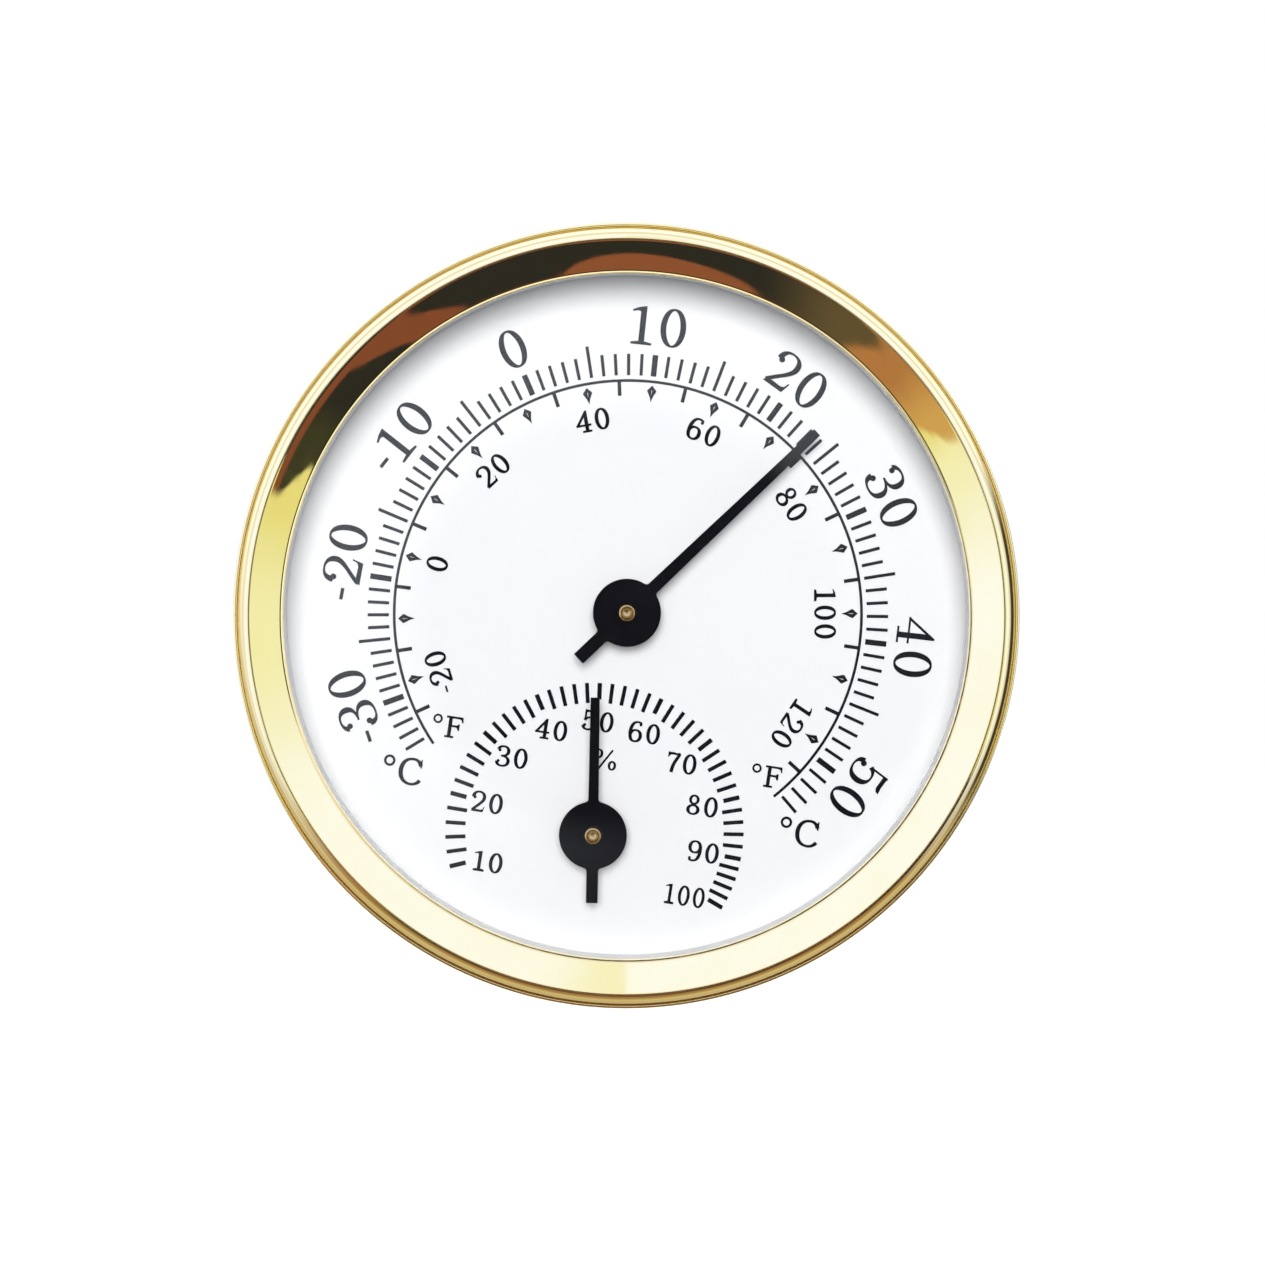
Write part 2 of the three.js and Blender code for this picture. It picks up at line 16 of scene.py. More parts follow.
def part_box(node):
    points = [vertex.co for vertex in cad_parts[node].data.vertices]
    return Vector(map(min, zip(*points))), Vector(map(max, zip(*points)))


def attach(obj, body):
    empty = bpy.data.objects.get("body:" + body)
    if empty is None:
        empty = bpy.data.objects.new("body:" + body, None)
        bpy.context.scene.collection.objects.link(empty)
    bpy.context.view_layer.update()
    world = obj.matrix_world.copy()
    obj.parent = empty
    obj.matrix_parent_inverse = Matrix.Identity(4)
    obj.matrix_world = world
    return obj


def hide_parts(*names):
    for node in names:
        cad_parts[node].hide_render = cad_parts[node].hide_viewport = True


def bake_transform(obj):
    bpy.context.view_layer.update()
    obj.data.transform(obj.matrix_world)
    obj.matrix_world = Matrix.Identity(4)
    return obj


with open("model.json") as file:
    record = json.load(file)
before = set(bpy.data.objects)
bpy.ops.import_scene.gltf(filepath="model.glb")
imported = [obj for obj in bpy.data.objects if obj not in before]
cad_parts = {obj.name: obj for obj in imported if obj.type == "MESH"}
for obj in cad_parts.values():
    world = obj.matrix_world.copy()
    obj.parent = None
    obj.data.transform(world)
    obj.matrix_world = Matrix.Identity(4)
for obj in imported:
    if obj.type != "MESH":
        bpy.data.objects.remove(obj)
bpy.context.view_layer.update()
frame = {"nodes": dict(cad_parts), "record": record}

MM = 0.001
RECORD = frame["record"]
BODY_OF = {node: body for body, nodes in RECORD["behaviour"]["bodies"].items() for node in nodes}


# ---- places taken from the CAD frame

def extent(node):
    """The middle of a node across and up, and the heights of its back and front."""
    low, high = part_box(node)
    return (low[0] + high[0]) / 2 / MM, (low[2] + high[2]) / 2 / MM, -high[1] / MM, -low[1] / MM


def width(node):
    low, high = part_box(node)
    return (high[0] - low[0]) / MM


def pointing(node, x, z):
    """The clock angle of the corner of a node that is furthest from x, z."""
    corners = [(v.co.x / MM - x, v.co.z / MM - z) for v in frame["nodes"][node].data.vertices]
    far = max(math.hypot(*corner) for corner in corners)
    nearly = 0.1
    tips = [corner for corner in corners if math.hypot(*corner) > far - nearly]
    return math.degrees(math.atan2(sum(t[0] for t in tips), sum(t[1] for t in tips)))


TEMP_X, TEMP_Z = extent("temp_spindle")[:2]
HUM_X, HUM_Z = extent("hum_spindle")[:2]
TEMP_REST = pointing("temp_pointer", TEMP_X, TEMP_Z)
HUM_REST = pointing("hum_pointer", HUM_X, HUM_Z)

CASE_RADIUS = width("case_shell") / 2
BACK, MOUTH_HEIGHT = extent("case_shell")[2:]
BEZEL_BACK, BEZEL_FRONT = extent("bezel_ring")[2:]
STACK_RADIUS = width("lens") / 2
LENS_BACK, LENS_FRONT = extent("lens")[2:]
DIAL_BACK, DIAL_FACE = extent("dial_plate")[2:]
PLATE_BACK = extent("movement_plate")[2]

# Shapes inside those boxes.
SHEET = 0.6
CUP_RADIUS = 33.0
CUP_CORNER = 3.0
MOUTH_RADIUS = 34.2
BEAD_HALF = 0.2
BEAD_LOW, BEAD_TOP = 11.4, 12.8
GROOVE_FLOOR = 12.2
LIP_RADIUS = 31.3
LIP_THICKNESS = 0.35
CREST_RADIUS = 34.22
CREST_ROUND = 0.45
CREST_INNER_DEG, CREST_OUTER_DEG = 33.0, 30.0
SKIRT_RADIUS = 35.33
FUNNEL_INNER_DEG = 25.0
SPACER_INNER_RADIUS = 31.75
HUB_RADIUS = 3.15
SPINDLE_RADIUS = 0.5
RUNNING_BORE = 0.56
PRESSED_BORE = 0.55
SCREW_HOLE_RADIUS = 0.75
BARREL_HOLE_RADIUS = 1.25
POST_HOLE_RADIUS = 0.55
POINTER_FILLET = 0.35
INK_THICKNESS = 0.02
SEAM_GAP = 0.02
RIM_STEPS = 3
FACE_STEPS = 12
SHARP_DEG = 30
CUT_SHARP_DEG = 20


# ---- outlines

def oval(x, y, across, up, steps=28):
    angles = [2 * math.pi * i / steps for i in range(steps)]
    return [(x + across * math.cos(a), y + up * math.sin(a)) for a in angles]


def circle(x, y, radius, steps=96):
    return oval(x, y, radius, radius, steps)


def bar(x0, y0, x1, y1):
    return [(x0, y0), (x1, y0), (x1, y1), (x0, y1)]


def arc(x, y, radius, start_deg, end_deg, steps=12):
    angles = [math.radians(start_deg + (end_deg - start_deg) * i / steps) for i in range(steps + 1)]
    return [(x + radius * math.cos(a), y + radius * math.sin(a)) for a in angles]


def bezier(*knots, steps=9):
    """Points on joined cubic curves: a start, then two handles and an end for each curve."""
    points = [knots[0]]
    for first in range(0, len(knots) - 1, 3):
        a, b, c, d = knots[first:first + 4]
        for i in range(1, steps + 1):
            t = i / steps
            s = 1 - t
            weights = (s * s * s, 3 * s * s * t, 3 * s * t * t, t * t * t)
            points.append(tuple(sum(w * p[k] for w, p in zip(weights, (a, b, c, d))) for k in (0, 1)))
    return points


def moved(points, x, y, clock_deg=0.0, scale=1.0):
    """Scaled, turned clockwise and shifted points."""
    c, s = math.cos(math.radians(clock_deg)), math.sin(math.radians(clock_deg))
    return [(x + scale * (px * c + py * s), y + scale * (py * c - px * s)) for px, py in points]


def rounded(points, radius, steps=4, closed=True):
    """The same outline with its corners turned into arcs. An open one keeps its two ends."""
    nearly_straight = math.radians(80)
    edge_share = 0.45
    result = []
    for i, point in enumerate(points):
        ahead = points[(i + 1) % len(points)]
        corner, back, on = Vector(point), Vector(points[i - 1]), Vector(ahead)
        if not closed and i in (0, len(points) - 1):
            result.append(point)
            continue
        to_back, to_on = (back - corner), (on - corner)
        half = to_back.angle(to_on) / 2
        if half > nearly_straight:
            result.append(point)
            continue
        reach = min(radius / math.tan(half), edge_share * to_back.length, edge_share * to_on.length)
        start = corner + to_back.normalized() * reach
        end = corner + to_on.normalized() * reach
        bend = reach * math.tan(half)
        centre = corner + (to_back.normalized() + to_on.normalized()).normalized() * (bend / math.sin(half))
        first = math.atan2(start.y - centre.y, start.x - centre.x)
        sweep = math.remainder(math.atan2(end.y - centre.y, end.x - centre.x) - first, 2 * math.pi)
        for k in range(steps + 1):
            angle = first + sweep * k / steps
            result.append((centre.x + bend * math.cos(angle), centre.y + bend * math.sin(angle)))
    return result


def signed_area(points):
    pairs = zip(points, points[1:] + points[:1])
    return sum(a[0] * b[1] - b[0] * a[1] for a, b in pairs) / 2


def inset(points, distance):
    """An outline moved to its left by a distance."""
    result = []
    for i, point in enumerate(points):
        before = Vector(point) - Vector(points[i - 1])
        after = Vector(points[(i + 1) % len(points)]) - Vector(point)
        n1 = Vector((-before.y, before.x)).normalized()
        n2 = Vector((-after.y, after.x)).normalized()
        mitre = (n1 + n2) / (1 + n1.dot(n2))
        result.append(tuple(Vector(point) + mitre * distance))
    return result


# ---- meshes

def front(u, v, w):
    """Outlines drawn as seen from the front, standing at a height."""
    return (u, -w, v)


def sideways(u, v, w):
    """Outlines drawn across and through the height, standing along the vertical."""
    return (u, -v, w)


def build(name, points, faces, creased=None, origin=(0.0, 0.0)):
    """A smooth-shaded object from points in millimetres. creased says which edges stay sharp."""
    mesh = bpy.data.meshes.new(name)
    mesh.from_pydata([Vector(point) * MM for point in points], [], faces)
    solid = bmesh.new()
    solid.from_mesh(mesh)
    bmesh.ops.recalc_face_normals(solid, faces=solid.faces)
    solid.to_mesh(mesh)
    solid.free()
    mesh.shade_smooth()
    mesh.set_sharp_from_angle(angle=math.radians(SHARP_DEG))
    if creased:
        for edge in mesh.edges:
            if creased(*edge.vertices):
                edge.use_edge_sharp = True
    piece = bpy.data.objects.new(name, mesh)
    piece.location = (origin[0] * MM, 0, origin[1] * MM)
    bpy.context.scene.collection.objects.link(piece)
    bpy.context.view_layer.update()
    return piece


def turned(name, profile, x=0.0, z=0.0, steps=72):
    """A solid of revolution about the Y axis through x, z, from a closed list of (radius, height)."""
    points, owners, rings = [], [], []
    for number, (radius, height) in enumerate(profile):
        count = 1 if radius < 1e-6 else steps
        rings.append([len(points) + i for i in range(count)])
        for i in range(count):
            angle = 2 * math.pi * i / steps
            points.append((radius * math.sin(angle), -height, radius * math.cos(angle)))
            owners.append(number)
    faces = []
    for here, there in zip(rings, rings[1:] + rings[:1]):
        for i in range(steps):
            j = (i + 1) % steps
            corners = (here[i % len(here)], here[j % len(here)], there[j % len(there)], there[i % len(there)])
            face = list(dict.fromkeys(corners))
            if len(face) > 2:
                faces.append(face)
    # A ring where a long straight stretch meets the short ones of a bend is shaded sharp.
    tangent = set()
    for i, point in enumerate(profile):
        before = math.dist(point, profile[i - 1])
        after = math.dist(point, profile[(i + 1) % len(profile)])
        if max(before, after) > 3 * min(before, after):
            tangent.add(i)
    return build(name, points, faces, lambda a, b: owners[a] == owners[b] and owners[a] in tangent, (x, z))


def flat_region(adds, cuts=()):
    """Points and triangles that fill the adding outlines and leave out the cutting ones."""
    points, outlines = [], []
    for outline in [*adds, *cuts]:
        numbers = list(range(len(points), len(points) + len(outline)))
        outlines.append(numbers if signed_area(outline) > 0 else numbers[::-1])
        points += [Vector(point) for point in outline]
    flat, _, triangles, sources, _, owners = delaunay_2d_cdt(points, [], outlines, 0, 1e-6, True)
    kept = [face for face, inside in zip(triangles, owners) if inside and max(inside) < len(adds)]
    return flat, kept, sources


def prism(region, low, high, first=0):
    """Points and faces of a straight-sided solid over a flat region. first is its first point's number."""
    flat, triangles = region[:2]
    used = sorted({corner for triangle in triangles for corner in triangle})
    number = {corner: first + i for i, corner in enumerate(used)}
    count = len(used)
    points = [front(flat[c].x, flat[c].y, high) for c in used]
    points += [front(flat[c].x, flat[c].y, low) for c in used]
    faces = []
    edges = set()
    for triangle in triangles:
        corners = [number[c] for c in triangle]
        faces.append(corners)
        faces.append([c + count for c in reversed(corners)])
        edges.update(zip(corners, corners[1:] + corners[:1]))
    for a, b in edges:
        if (b, a) not in edges:
            faces.append([b, a, a + count, b + count])
    return points, faces


def printed(name, outlines_of_marks):
    """One object that holds a thin solid for each mark. A mark is a list of outlines that add up."""
    points, faces = [], []
    for outlines in outlines_of_marks:
        more, sides = prism(flat_region(outlines), DIAL_FACE, DIAL_FACE + INK_THICKNESS, len(points))
        points += more
        faces += sides
    return build(name, points, faces)


def sheet(name, outer, holes, low, high, edge=0.05, place=front):
    """A flat piece between two heights, with holes, and with its rims rounded."""
    loops = [outer if signed_area(outer) > 0 else outer[::-1]]
    loops += [hole if signed_area(hole) < 0 else hole[::-1] for hole in holes]
    rim = [(edge - v, high - edge + u) for u, v in arc(0, 0, edge, 0, 90, RIM_STEPS)]
    rim += [(inward, low + high - height) for inward, height in reversed(rim)]
    points, rows, faces, caps = [], [], [], []
    for row, (inward, height) in enumerate(rim):
        for loop in loops:
            shrunk = inset(loop, inward)
            points += [place(u, v, height) for u, v in shrunk]
            rows += [row] * len(shrunk)
            if row == 0:
                caps.append(shrunk)
    count = sum(len(loop) for loop in loops)
    start = 0
    for loop in loops:
        size = len(loop)
        for row in range(len(rim) - 1):
            for i in range(size):
                a = row * count + start + i
                b = row * count + start + (i + 1) % size
                faces.append([a, a + count, b + count, b])
        start += size
    _, triangles, sources = flat_region(caps[:1], caps[1:])
    last = (len(rim) - 1) * count
    for triangle in triangles:
        corners = [sources[c][0] for c in triangle]
        faces.append(corners)
        faces.append([last + c for c in reversed(corners)])
    ends = (0, len(rim) - 1)
    return build(name, points, faces, lambda a, b: rows[a] == rows[b] and rows[a] in ends)


def cut(piece, outlines, low, high, place=front):
    """Cuts straight-sided holes through a piece. place says how the outlines are turned, as in sheet."""
    points, faces = prism(flat_region(outlines), low, high)
    tool = build("cutter", [place(x, z, -y) for x, y, z in points], faces)
    modifier = piece.modifiers.new("cut", "BOOLEAN")
    modifier.operation = "DIFFERENCE"
    modifier.solver = "EXACT"
    modifier.object = tool
    graph = bpy.context.evaluated_depsgraph_get()
    mesh = bpy.data.meshes.new_from_object(piece.evaluated_get(graph))
    piece.modifiers.clear()
    piece.data = mesh
    bpy.data.objects.remove(tool)
    mesh.set_sharp_from_angle(angle=math.radians(CUT_SHARP_DEG))
    return piece


def slotted(piece, x, z, back, half, depth):
    """Cuts a round-bottomed screwdriver slot with eased edges into the back of a head."""
    ease, reach = 0.1, 3.0
    outline = [(-half - ease, -1), (-half - ease, 0), (-half, ease), *arc(0, depth - half, half, 180, 0, 10),
               (half, ease), (half + ease, 0), (half + ease, -1)]
    return cut(piece, [moved(outline, x, back)], z - reach, z + reach, sideways)


def install(piece, node, material):
    """Gives a piece its material and lets it stand for a CAD node, on that node's body."""
    piece.data.materials.clear()
    piece.data.materials.append(material)
    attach(piece, BODY_OF[node])
    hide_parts(node)
    return piece


# ---- node graphs

class Graph:
    """Short calls for adding shader nodes to one tree."""

    def __init__(self, owner):
        owner.use_nodes = True
        self.owner = owner
        self.tree = owner.node_tree
        self.tree.nodes.clear()

    def set_input(self, socket, value):
        if isinstance(value, bpy.types.NodeSocket):
            self.tree.links.new(value, socket)
        else:
            socket.default_value = value

    def add(self, kind, settings=None, **inputs):
        node = self.tree.nodes.new(kind)
        for key, value in (settings or {}).items():
            setattr(node, key, value)
        for key, value in inputs.items():
            self.set_input(node.inputs[key.replace("_", " ")], value)
        return node

    def math(self, operation, *values):
        node = self.add("ShaderNodeMath", {"operation": operation})
        for socket, value in zip(node.inputs, values):
            self.set_input(socket, value)
        return node.outputs[0]

    def plus(self, first, second):
        return self.math("ADD", first, second)

    def minus(self, first, second):
        return self.math("SUBTRACT", first, second)

    def times(self, first, second):
        return self.math("MULTIPLY", first, second)

    def smooth(self, value, low, high, at_low=0.0, at_high=1.0):
        """A smooth step from at_low to at_high as value goes from low to high."""
        node = self.add("ShaderNodeMapRange", {"interpolation_type": "SMOOTHSTEP"})
        for socket, number in zip(node.inputs, (value, low, high, at_low, at_high)):
            self.set_input(socket, number)
        return node.outputs[0]

    def mix(self, factor, first, second):
        node = self.add("ShaderNodeMix", {"data_type": "RGBA"})
        colours = [c if isinstance(c, bpy.types.NodeSocket) else (*c, 1.0) for c in (first, second)]
        for index, value in zip((0, 6, 7), (factor, *colours)):
            self.set_input(node.inputs[index], value)
        return node.outputs[2]

    def noise(self, scale, detail=2.0, stretch=(1.0, 1.0, 1.0)):
        """Noise with features of about 1 / scale metres, fixed to the piece."""
        place = self.add("ShaderNodeTexCoord").outputs["Object"]
        if stretch != (1.0, 1.0, 1.0):
            place = self.add("ShaderNodeMapping", Vector=place, Scale=stretch).outputs[0]
        return self.add("ShaderNodeTexNoise", Vector=place, Scale=scale, Detail=detail).outputs["Fac"]

    def bump(self, height, distance_mm, under=None):
        node = self.add("ShaderNodeBump", Height=height, Distance=distance_mm * MM)
        if under:
            self.set_input(node.inputs["Normal"], under)
        return node.outputs[0]

    def finish(self, colour, roughness, metallic=0.0, normal=None, **more):
        """Closes a material's graph with a Principled shader, and gives the material."""
        shader = self.add("ShaderNodeBsdfPrincipled", Metallic=metallic, Roughness=roughness, **more)
        self.set_input(shader.inputs["Base Color"], colour)
        if normal:
            self.set_input(shader.inputs["Normal"], normal)
        self.add("ShaderNodeOutputMaterial", Surface=shader.outputs[0])
        return self.owner


def new_graph(name):
    return Graph(bpy.data.materials.new(name))


# ---- finishes

def gold_polish(name, low_gloss, high_gloss, wave_mm):
    """Bright gold-coloured plating over pressed metal: faint waves, fine scratches, uneven gloss."""
    g = new_graph(name)
    colour = g.mix(g.noise(180, 3), (1.0, 0.80, 0.37), (1.0, 0.85, 0.45))
    gloss = g.smooth(g.noise(900, 4), 0.35, 0.7, low_gloss, high_gloss)
    waves = g.bump(g.noise(110, 1), wave_mm)
    scratches = g.bump(g.noise(5000, 2, (1.0, 1.0, 0.06)), 0.0006, waves)
    return g.finish(colour, gloss, 1.0, scratches)


def lens_glass():
    """Clear pane. Light that is on its way to the dial goes straight through."""
    g = new_graph("lens_clear")
    haze = g.smooth(g.noise(250, 2), 0.4, 0.8, 0.0, 0.03)
    pane = g.add("ShaderNodeBsdfPrincipled", Roughness=haze, IOR=1.48, Transmission_Weight=1.0).outputs[0]
    clear = g.add("ShaderNodeBsdfTransparent").outputs[0]
    ray = g.add("ShaderNodeLightPath").outputs
    passing = g.math("MAXIMUM", ray["Is Shadow Ray"], ray["Is Diffuse Ray"])
    both = g.add("ShaderNodeMixShader", Fac=passing)
    for socket, shader in zip(both.inputs[1:], (pane, clear)):
        g.set_input(socket, shader)
    g.add("ShaderNodeOutputMaterial", Surface=both.outputs[0])
    return g.owner


def dial_lacquer():
    """Smooth white lacquer with a very faint unevenness."""
    g = new_graph("dial_lacquer")
    colour = g.mix(g.noise(70, 3), (0.84, 0.845, 0.855), (0.875, 0.875, 0.88))
    gloss = g.smooth(g.noise(500, 2), 0.3, 0.7, 0.32, 0.42)
    return g.finish(colour, gloss, 0.0, g.bump(g.noise(1600, 3), 0.0006))


def ink():
    """Printed ink, blue-black and slightly uneven."""
    g = new_graph("ink")
    colour = g.mix(g.noise(1500, 3), (0.003, 0.004, 0.006), (0.010, 0.011, 0.015))
    relief = g.bump(g.noise(9000, 2), 0.0005)
    return g.finish(colour, 0.6, 0.0, relief, Specular_IOR_Level=0.06)


def white_moulding():
    """Moulded white plastic with a fine texture."""
    g = new_graph("white_moulding")
    colour = g.mix(g.noise(200, 2), (0.80, 0.80, 0.79), (0.85, 0.85, 0.84))
    return g.finish(colour, 0.5, 0.0, g.bump(g.noise(3500, 3), 0.002))


def black_paint():
    """Satin black paint with a fine orange peel and dust-dulled patches."""
    g = new_graph("satin_black")
    colour = g.mix(g.noise(350, 4), (0.002, 0.002, 0.003), (0.007, 0.007, 0.010))
    gloss = g.smooth(g.noise(800, 3), 0.3, 0.75, 0.28, 0.42)
    relief = g.bump(g.noise(5000, 2), 0.0012)
    return g.finish(colour, gloss, 0.0, relief, Specular_IOR_Level=0.06)


def zinc_steel():
    """Zinc-plated sheet steel, rolled along its length, with cloudy gloss."""
    g = new_graph("zinc_steel")
    colour = g.mix(g.noise(260, 5), (0.50, 0.52, 0.55), (0.70, 0.71, 0.72))
    gloss = g.smooth(g.noise(420, 4), 0.3, 0.7, 0.26, 0.46)
    grain = g.bump(g.noise(9000, 2, (0.05, 1.0, 1.0)), 0.001)
    return g.finish(colour, gloss, 1.0, grain)


def turned_brass():
    """Lathe-turned brass: fine tool rings across its height and a little tarnish."""
    g = new_graph("turned_brass")
    tarnish = g.noise(1400, 4)
    colour = g.mix(tarnish, (1.0, 0.78, 0.36), (0.80, 0.55, 0.22))
    gloss = g.smooth(tarnish, 0.35, 0.7, 0.05, 0.16)
    place = g.add("ShaderNodeSeparateXYZ", Vector=g.add("ShaderNodeTexCoord").outputs["Object"]).outputs
    squares = [g.times(place[axis], place[axis]) for axis in (0, 2)]
    radius = g.math("SQRT", g.plus(*squares))
    across = g.add("ShaderNodeCombineXYZ", X=radius, Y=place[1]).outputs[0]
    rings = g.add("ShaderNodeTexNoise", Vector=across, Scale=9000.0, Detail=2.0).outputs["Fac"]
    return g.finish(colour, gloss, 1.0, g.bump(rings, 0.0012))


def bimetal_strip():
    """Rolled two-metal strip with faint heat colours and rolling lines along it."""
    g = new_graph("bimetal_strip")
    tint = g.mix(g.noise(300, 3), (0.60, 0.55, 0.48), (0.66, 0.52, 0.36))
    lines = g.noise(9000, 2, (0.04, 1.0, 0.04))
    return g.finish(tint, 0.3, 1.0, g.bump(lines, 0.0012))


def coated_strip():
    """Metal strip under a matte, slightly blotchy moisture-sensitive coat."""
    g = new_graph("coated_strip")
    colour = g.mix(g.noise(700, 4), (0.52, 0.42, 0.29), (0.66, 0.57, 0.43))
    return g.finish(colour, 0.62, 0.25, g.bump(g.noise(5200, 3), 0.003))


# ---- case, bezel, lens

def case_shell(gold):
    """A stepped cup with round bends, and a bead with a narrow groove inside it round the mouth."""
    flat = CUP_RADIUS - CUP_CORNER
    ledge = PLATE_BACK
    inside = MOUTH_RADIUS - SHEET
    bend, bead_corner = 0.45, 0.5
    step = [(CUP_RADIUS, CUP_CORNER), (CUP_RADIUS, ledge - SHEET), (MOUTH_RADIUS, ledge - SHEET),
            (MOUTH_RADIUS, BEAD_LOW)]
    groove_outer, groove_inner = CASE_RADIUS - 2 * BEAD_HALF, SKIRT_RADIUS - 0.25
    profile = [
        (0, BACK),
        (flat - 0.4, BACK),
        *arc(flat, CUP_CORNER, CUP_CORNER, -90, 0, 14),
        *rounded(step, bend, 6, False)[1:],
        *arc(CASE_RADIUS - bead_corner, BEAD_LOW + bead_corner, bead_corner, -90, 0, 12),
        *arc(CASE_RADIUS - BEAD_HALF, BEAD_TOP - BEAD_HALF, BEAD_HALF, 0, 180, 16),
        (groove_outer, GROOVE_FLOOR),
        (groove_inner, GROOVE_FLOOR),
        (groove_inner, BEZEL_BACK - SEAM_GAP),
        (MOUTH_RADIUS, BEZEL_BACK - SEAM_GAP),
        (MOUTH_RADIUS, MOUTH_HEIGHT),
        (inside, MOUTH_HEIGHT),
        (inside, ledge),
        (CUP_RADIUS - SHEET, ledge),
        *arc(flat, CUP_CORNER, CUP_CORNER - SHEET, 0, -90, 10),
        (0, SHEET),
    ]
    piece = turned("case_metal", profile, steps=256)
    cut(piece, back_openings(), BACK - 1, SHEET + 1)
    return install(piece, "case_shell", gold)


def slot_outline(x, low, high, radius):
    """A slot with round ends between two centres, one above the other."""
    return arc(x, high, radius, 0, 180, 16) + arc(x, low, radius, 180, 360, 16)


def back_openings():
    """The keyhole, the adjuster's access hole and two rows of vents."""
    keyhole_z, keyhole_radius, slot_top, slot_radius = 20.0, 3.0, 25.5, 1.6
    access_radius = 2.1
    vent_half, vent_radius, upper_vent_z = 3.7, 0.8, 4.0
    openings = [circle(0, keyhole_z, keyhole_radius, 48)]
    openings.append(slot_outline(0, keyhole_z, slot_top, slot_radius))
    openings.append(circle(0, HUM_Z, access_radius, 48))
    for z in (HUM_Z, upper_vent_z):
        for x in (7, 11, 15):
            for side in (-1, 1):
                openings.append(slot_outline(side * x, z - vent_half, z + vent_half, vent_radius))
    return openings


def bezel_ring(gold):
    """A narrow flat lip, a face that climbs ever more steeply to the crest, and a round flank."""
    corner, land = 0.05, 0.13
    bend, bend_start, bend_end = 1.0, 12, 19
    foot_corner, under_lip, thickness = 0.15, 0.6, 0.82
    lip_top = MOUTH_HEIGHT + LIP_THICKNESS
    bend_x = LIP_RADIUS + corner + land - bend * math.sin(math.radians(bend_start))
    bend_y = lip_top + bend * math.cos(math.radians(bend_start))
    lip = arc(LIP_RADIUS + corner, lip_top - corner, corner, 180, 90, 4)
    lip += arc(bend_x, bend_y, bend, bend_start - 90, bend_end - 90, 4)
    crest_y = BEZEL_FRONT - CREST_ROUND
    crest = arc(CREST_RADIUS, crest_y, CREST_ROUND, 90 + CREST_INNER_DEG, 90 - CREST_OUTER_DEG)
    (start, low), (end, high) = lip[-1], crest[0]
    slope = math.tan(math.radians(FUNNEL_INNER_DEG))
    growth = (high - low - slope * (end - start)) / (end - start) ** 2
    face = []
    for i in range(1, FACE_STEPS):
        x = (end - start) * i / FACE_STEPS
        face.append((start + x, low + slope * x + growth * x * x))
    outer, shoulder = crest[-1]
    turn = math.radians(CREST_OUTER_DEG)
    reach = (SKIRT_RADIUS - outer) / (1 - math.sin(turn))
    flank_y = shoulder - reach * math.cos(turn)
    flank = arc(SKIRT_RADIUS - reach, flank_y, reach, 90 - CREST_OUTER_DEG, 0, 14)
    skirt_inner = MOUTH_RADIUS + 0.1
    profile = [
        (LIP_RADIUS, MOUTH_HEIGHT + SEAM_GAP),
        *lip,
        *face,
        *crest,
        *flank[1:],
        *arc(SKIRT_RADIUS - foot_corner, BEZEL_BACK + foot_corner, foot_corner, 0, -90, 4),
        (skirt_inner, BEZEL_BACK),
        (skirt_inner, BEZEL_FRONT - thickness),
        (LIP_RADIUS + under_lip, MOUTH_HEIGHT + SEAM_GAP),
    ]
    return install(turned("bezel_metal", profile, steps=320), "bezel_ring", gold)


def lens(glass):
    outline = [(0, LENS_BACK), (STACK_RADIUS, LENS_BACK), (STACK_RADIUS, LENS_FRONT), (0, LENS_FRONT)]
    return install(turned("lens_pane", rounded(outline, 0.12, 3, False), steps=200), "lens", glass)


def spacer_ring(plastic):
    """A ring with a step under the lens."""
    back, top = extent("spacer_ring")[2:]
    ledge_radius, ledge_height = 32.9, top - 0.7
    outline = [(SPACER_INNER_RADIUS, back), (STACK_RADIUS, back), (STACK_RADIUS, top),
               (ledge_radius, top), (ledge_radius, ledge_height), (SPACER_INNER_RADIUS, ledge_height)]
    piece = turned("spacer_moulding", rounded(outline, 0.1, 3), steps=200)
    return install(piece, "spacer_ring", plastic)


# ---- plates

def notched_outline():
    """A disc with the notch at the bottom that fits the tab in the case."""
    half, top = 1.3, -32.8
    gap = math.degrees(math.asin(half / STACK_RADIUS))
    outline = arc(0, 0, STACK_RADIUS, -90 + gap, 270 - gap, 200)
    return outline + [(-half, top), (half, top)]


def bush_holes():
    radius = 1.55
    return [circle(TEMP_X, TEMP_Z, radius, 40), circle(HUM_X, HUM_Z, radius, 40)]


def dial_plate(lacquer):
    piece = sheet("dial_sheet", notched_outline(), bush_holes(), DIAL_BACK, DIAL_FACE, 0.04)
    return install(piece, "dial_plate", lacquer)


def movement_plate(steel):
    holes = bush_holes()
    for movement in ("temp", "hum"):
        for side in ("left", "right"):
            x, z = extent(f"{movement}_bridge_screw_{side}")[:2]
            holes.append(circle(x, z, SCREW_HOLE_RADIUS, 32))
    piece = sheet("movement_sheet", notched_outline(), holes, PLATE_BACK, DIAL_BACK, 0.05)
    return install(piece, "movement_plate", steel)


# ---- brackets and screws

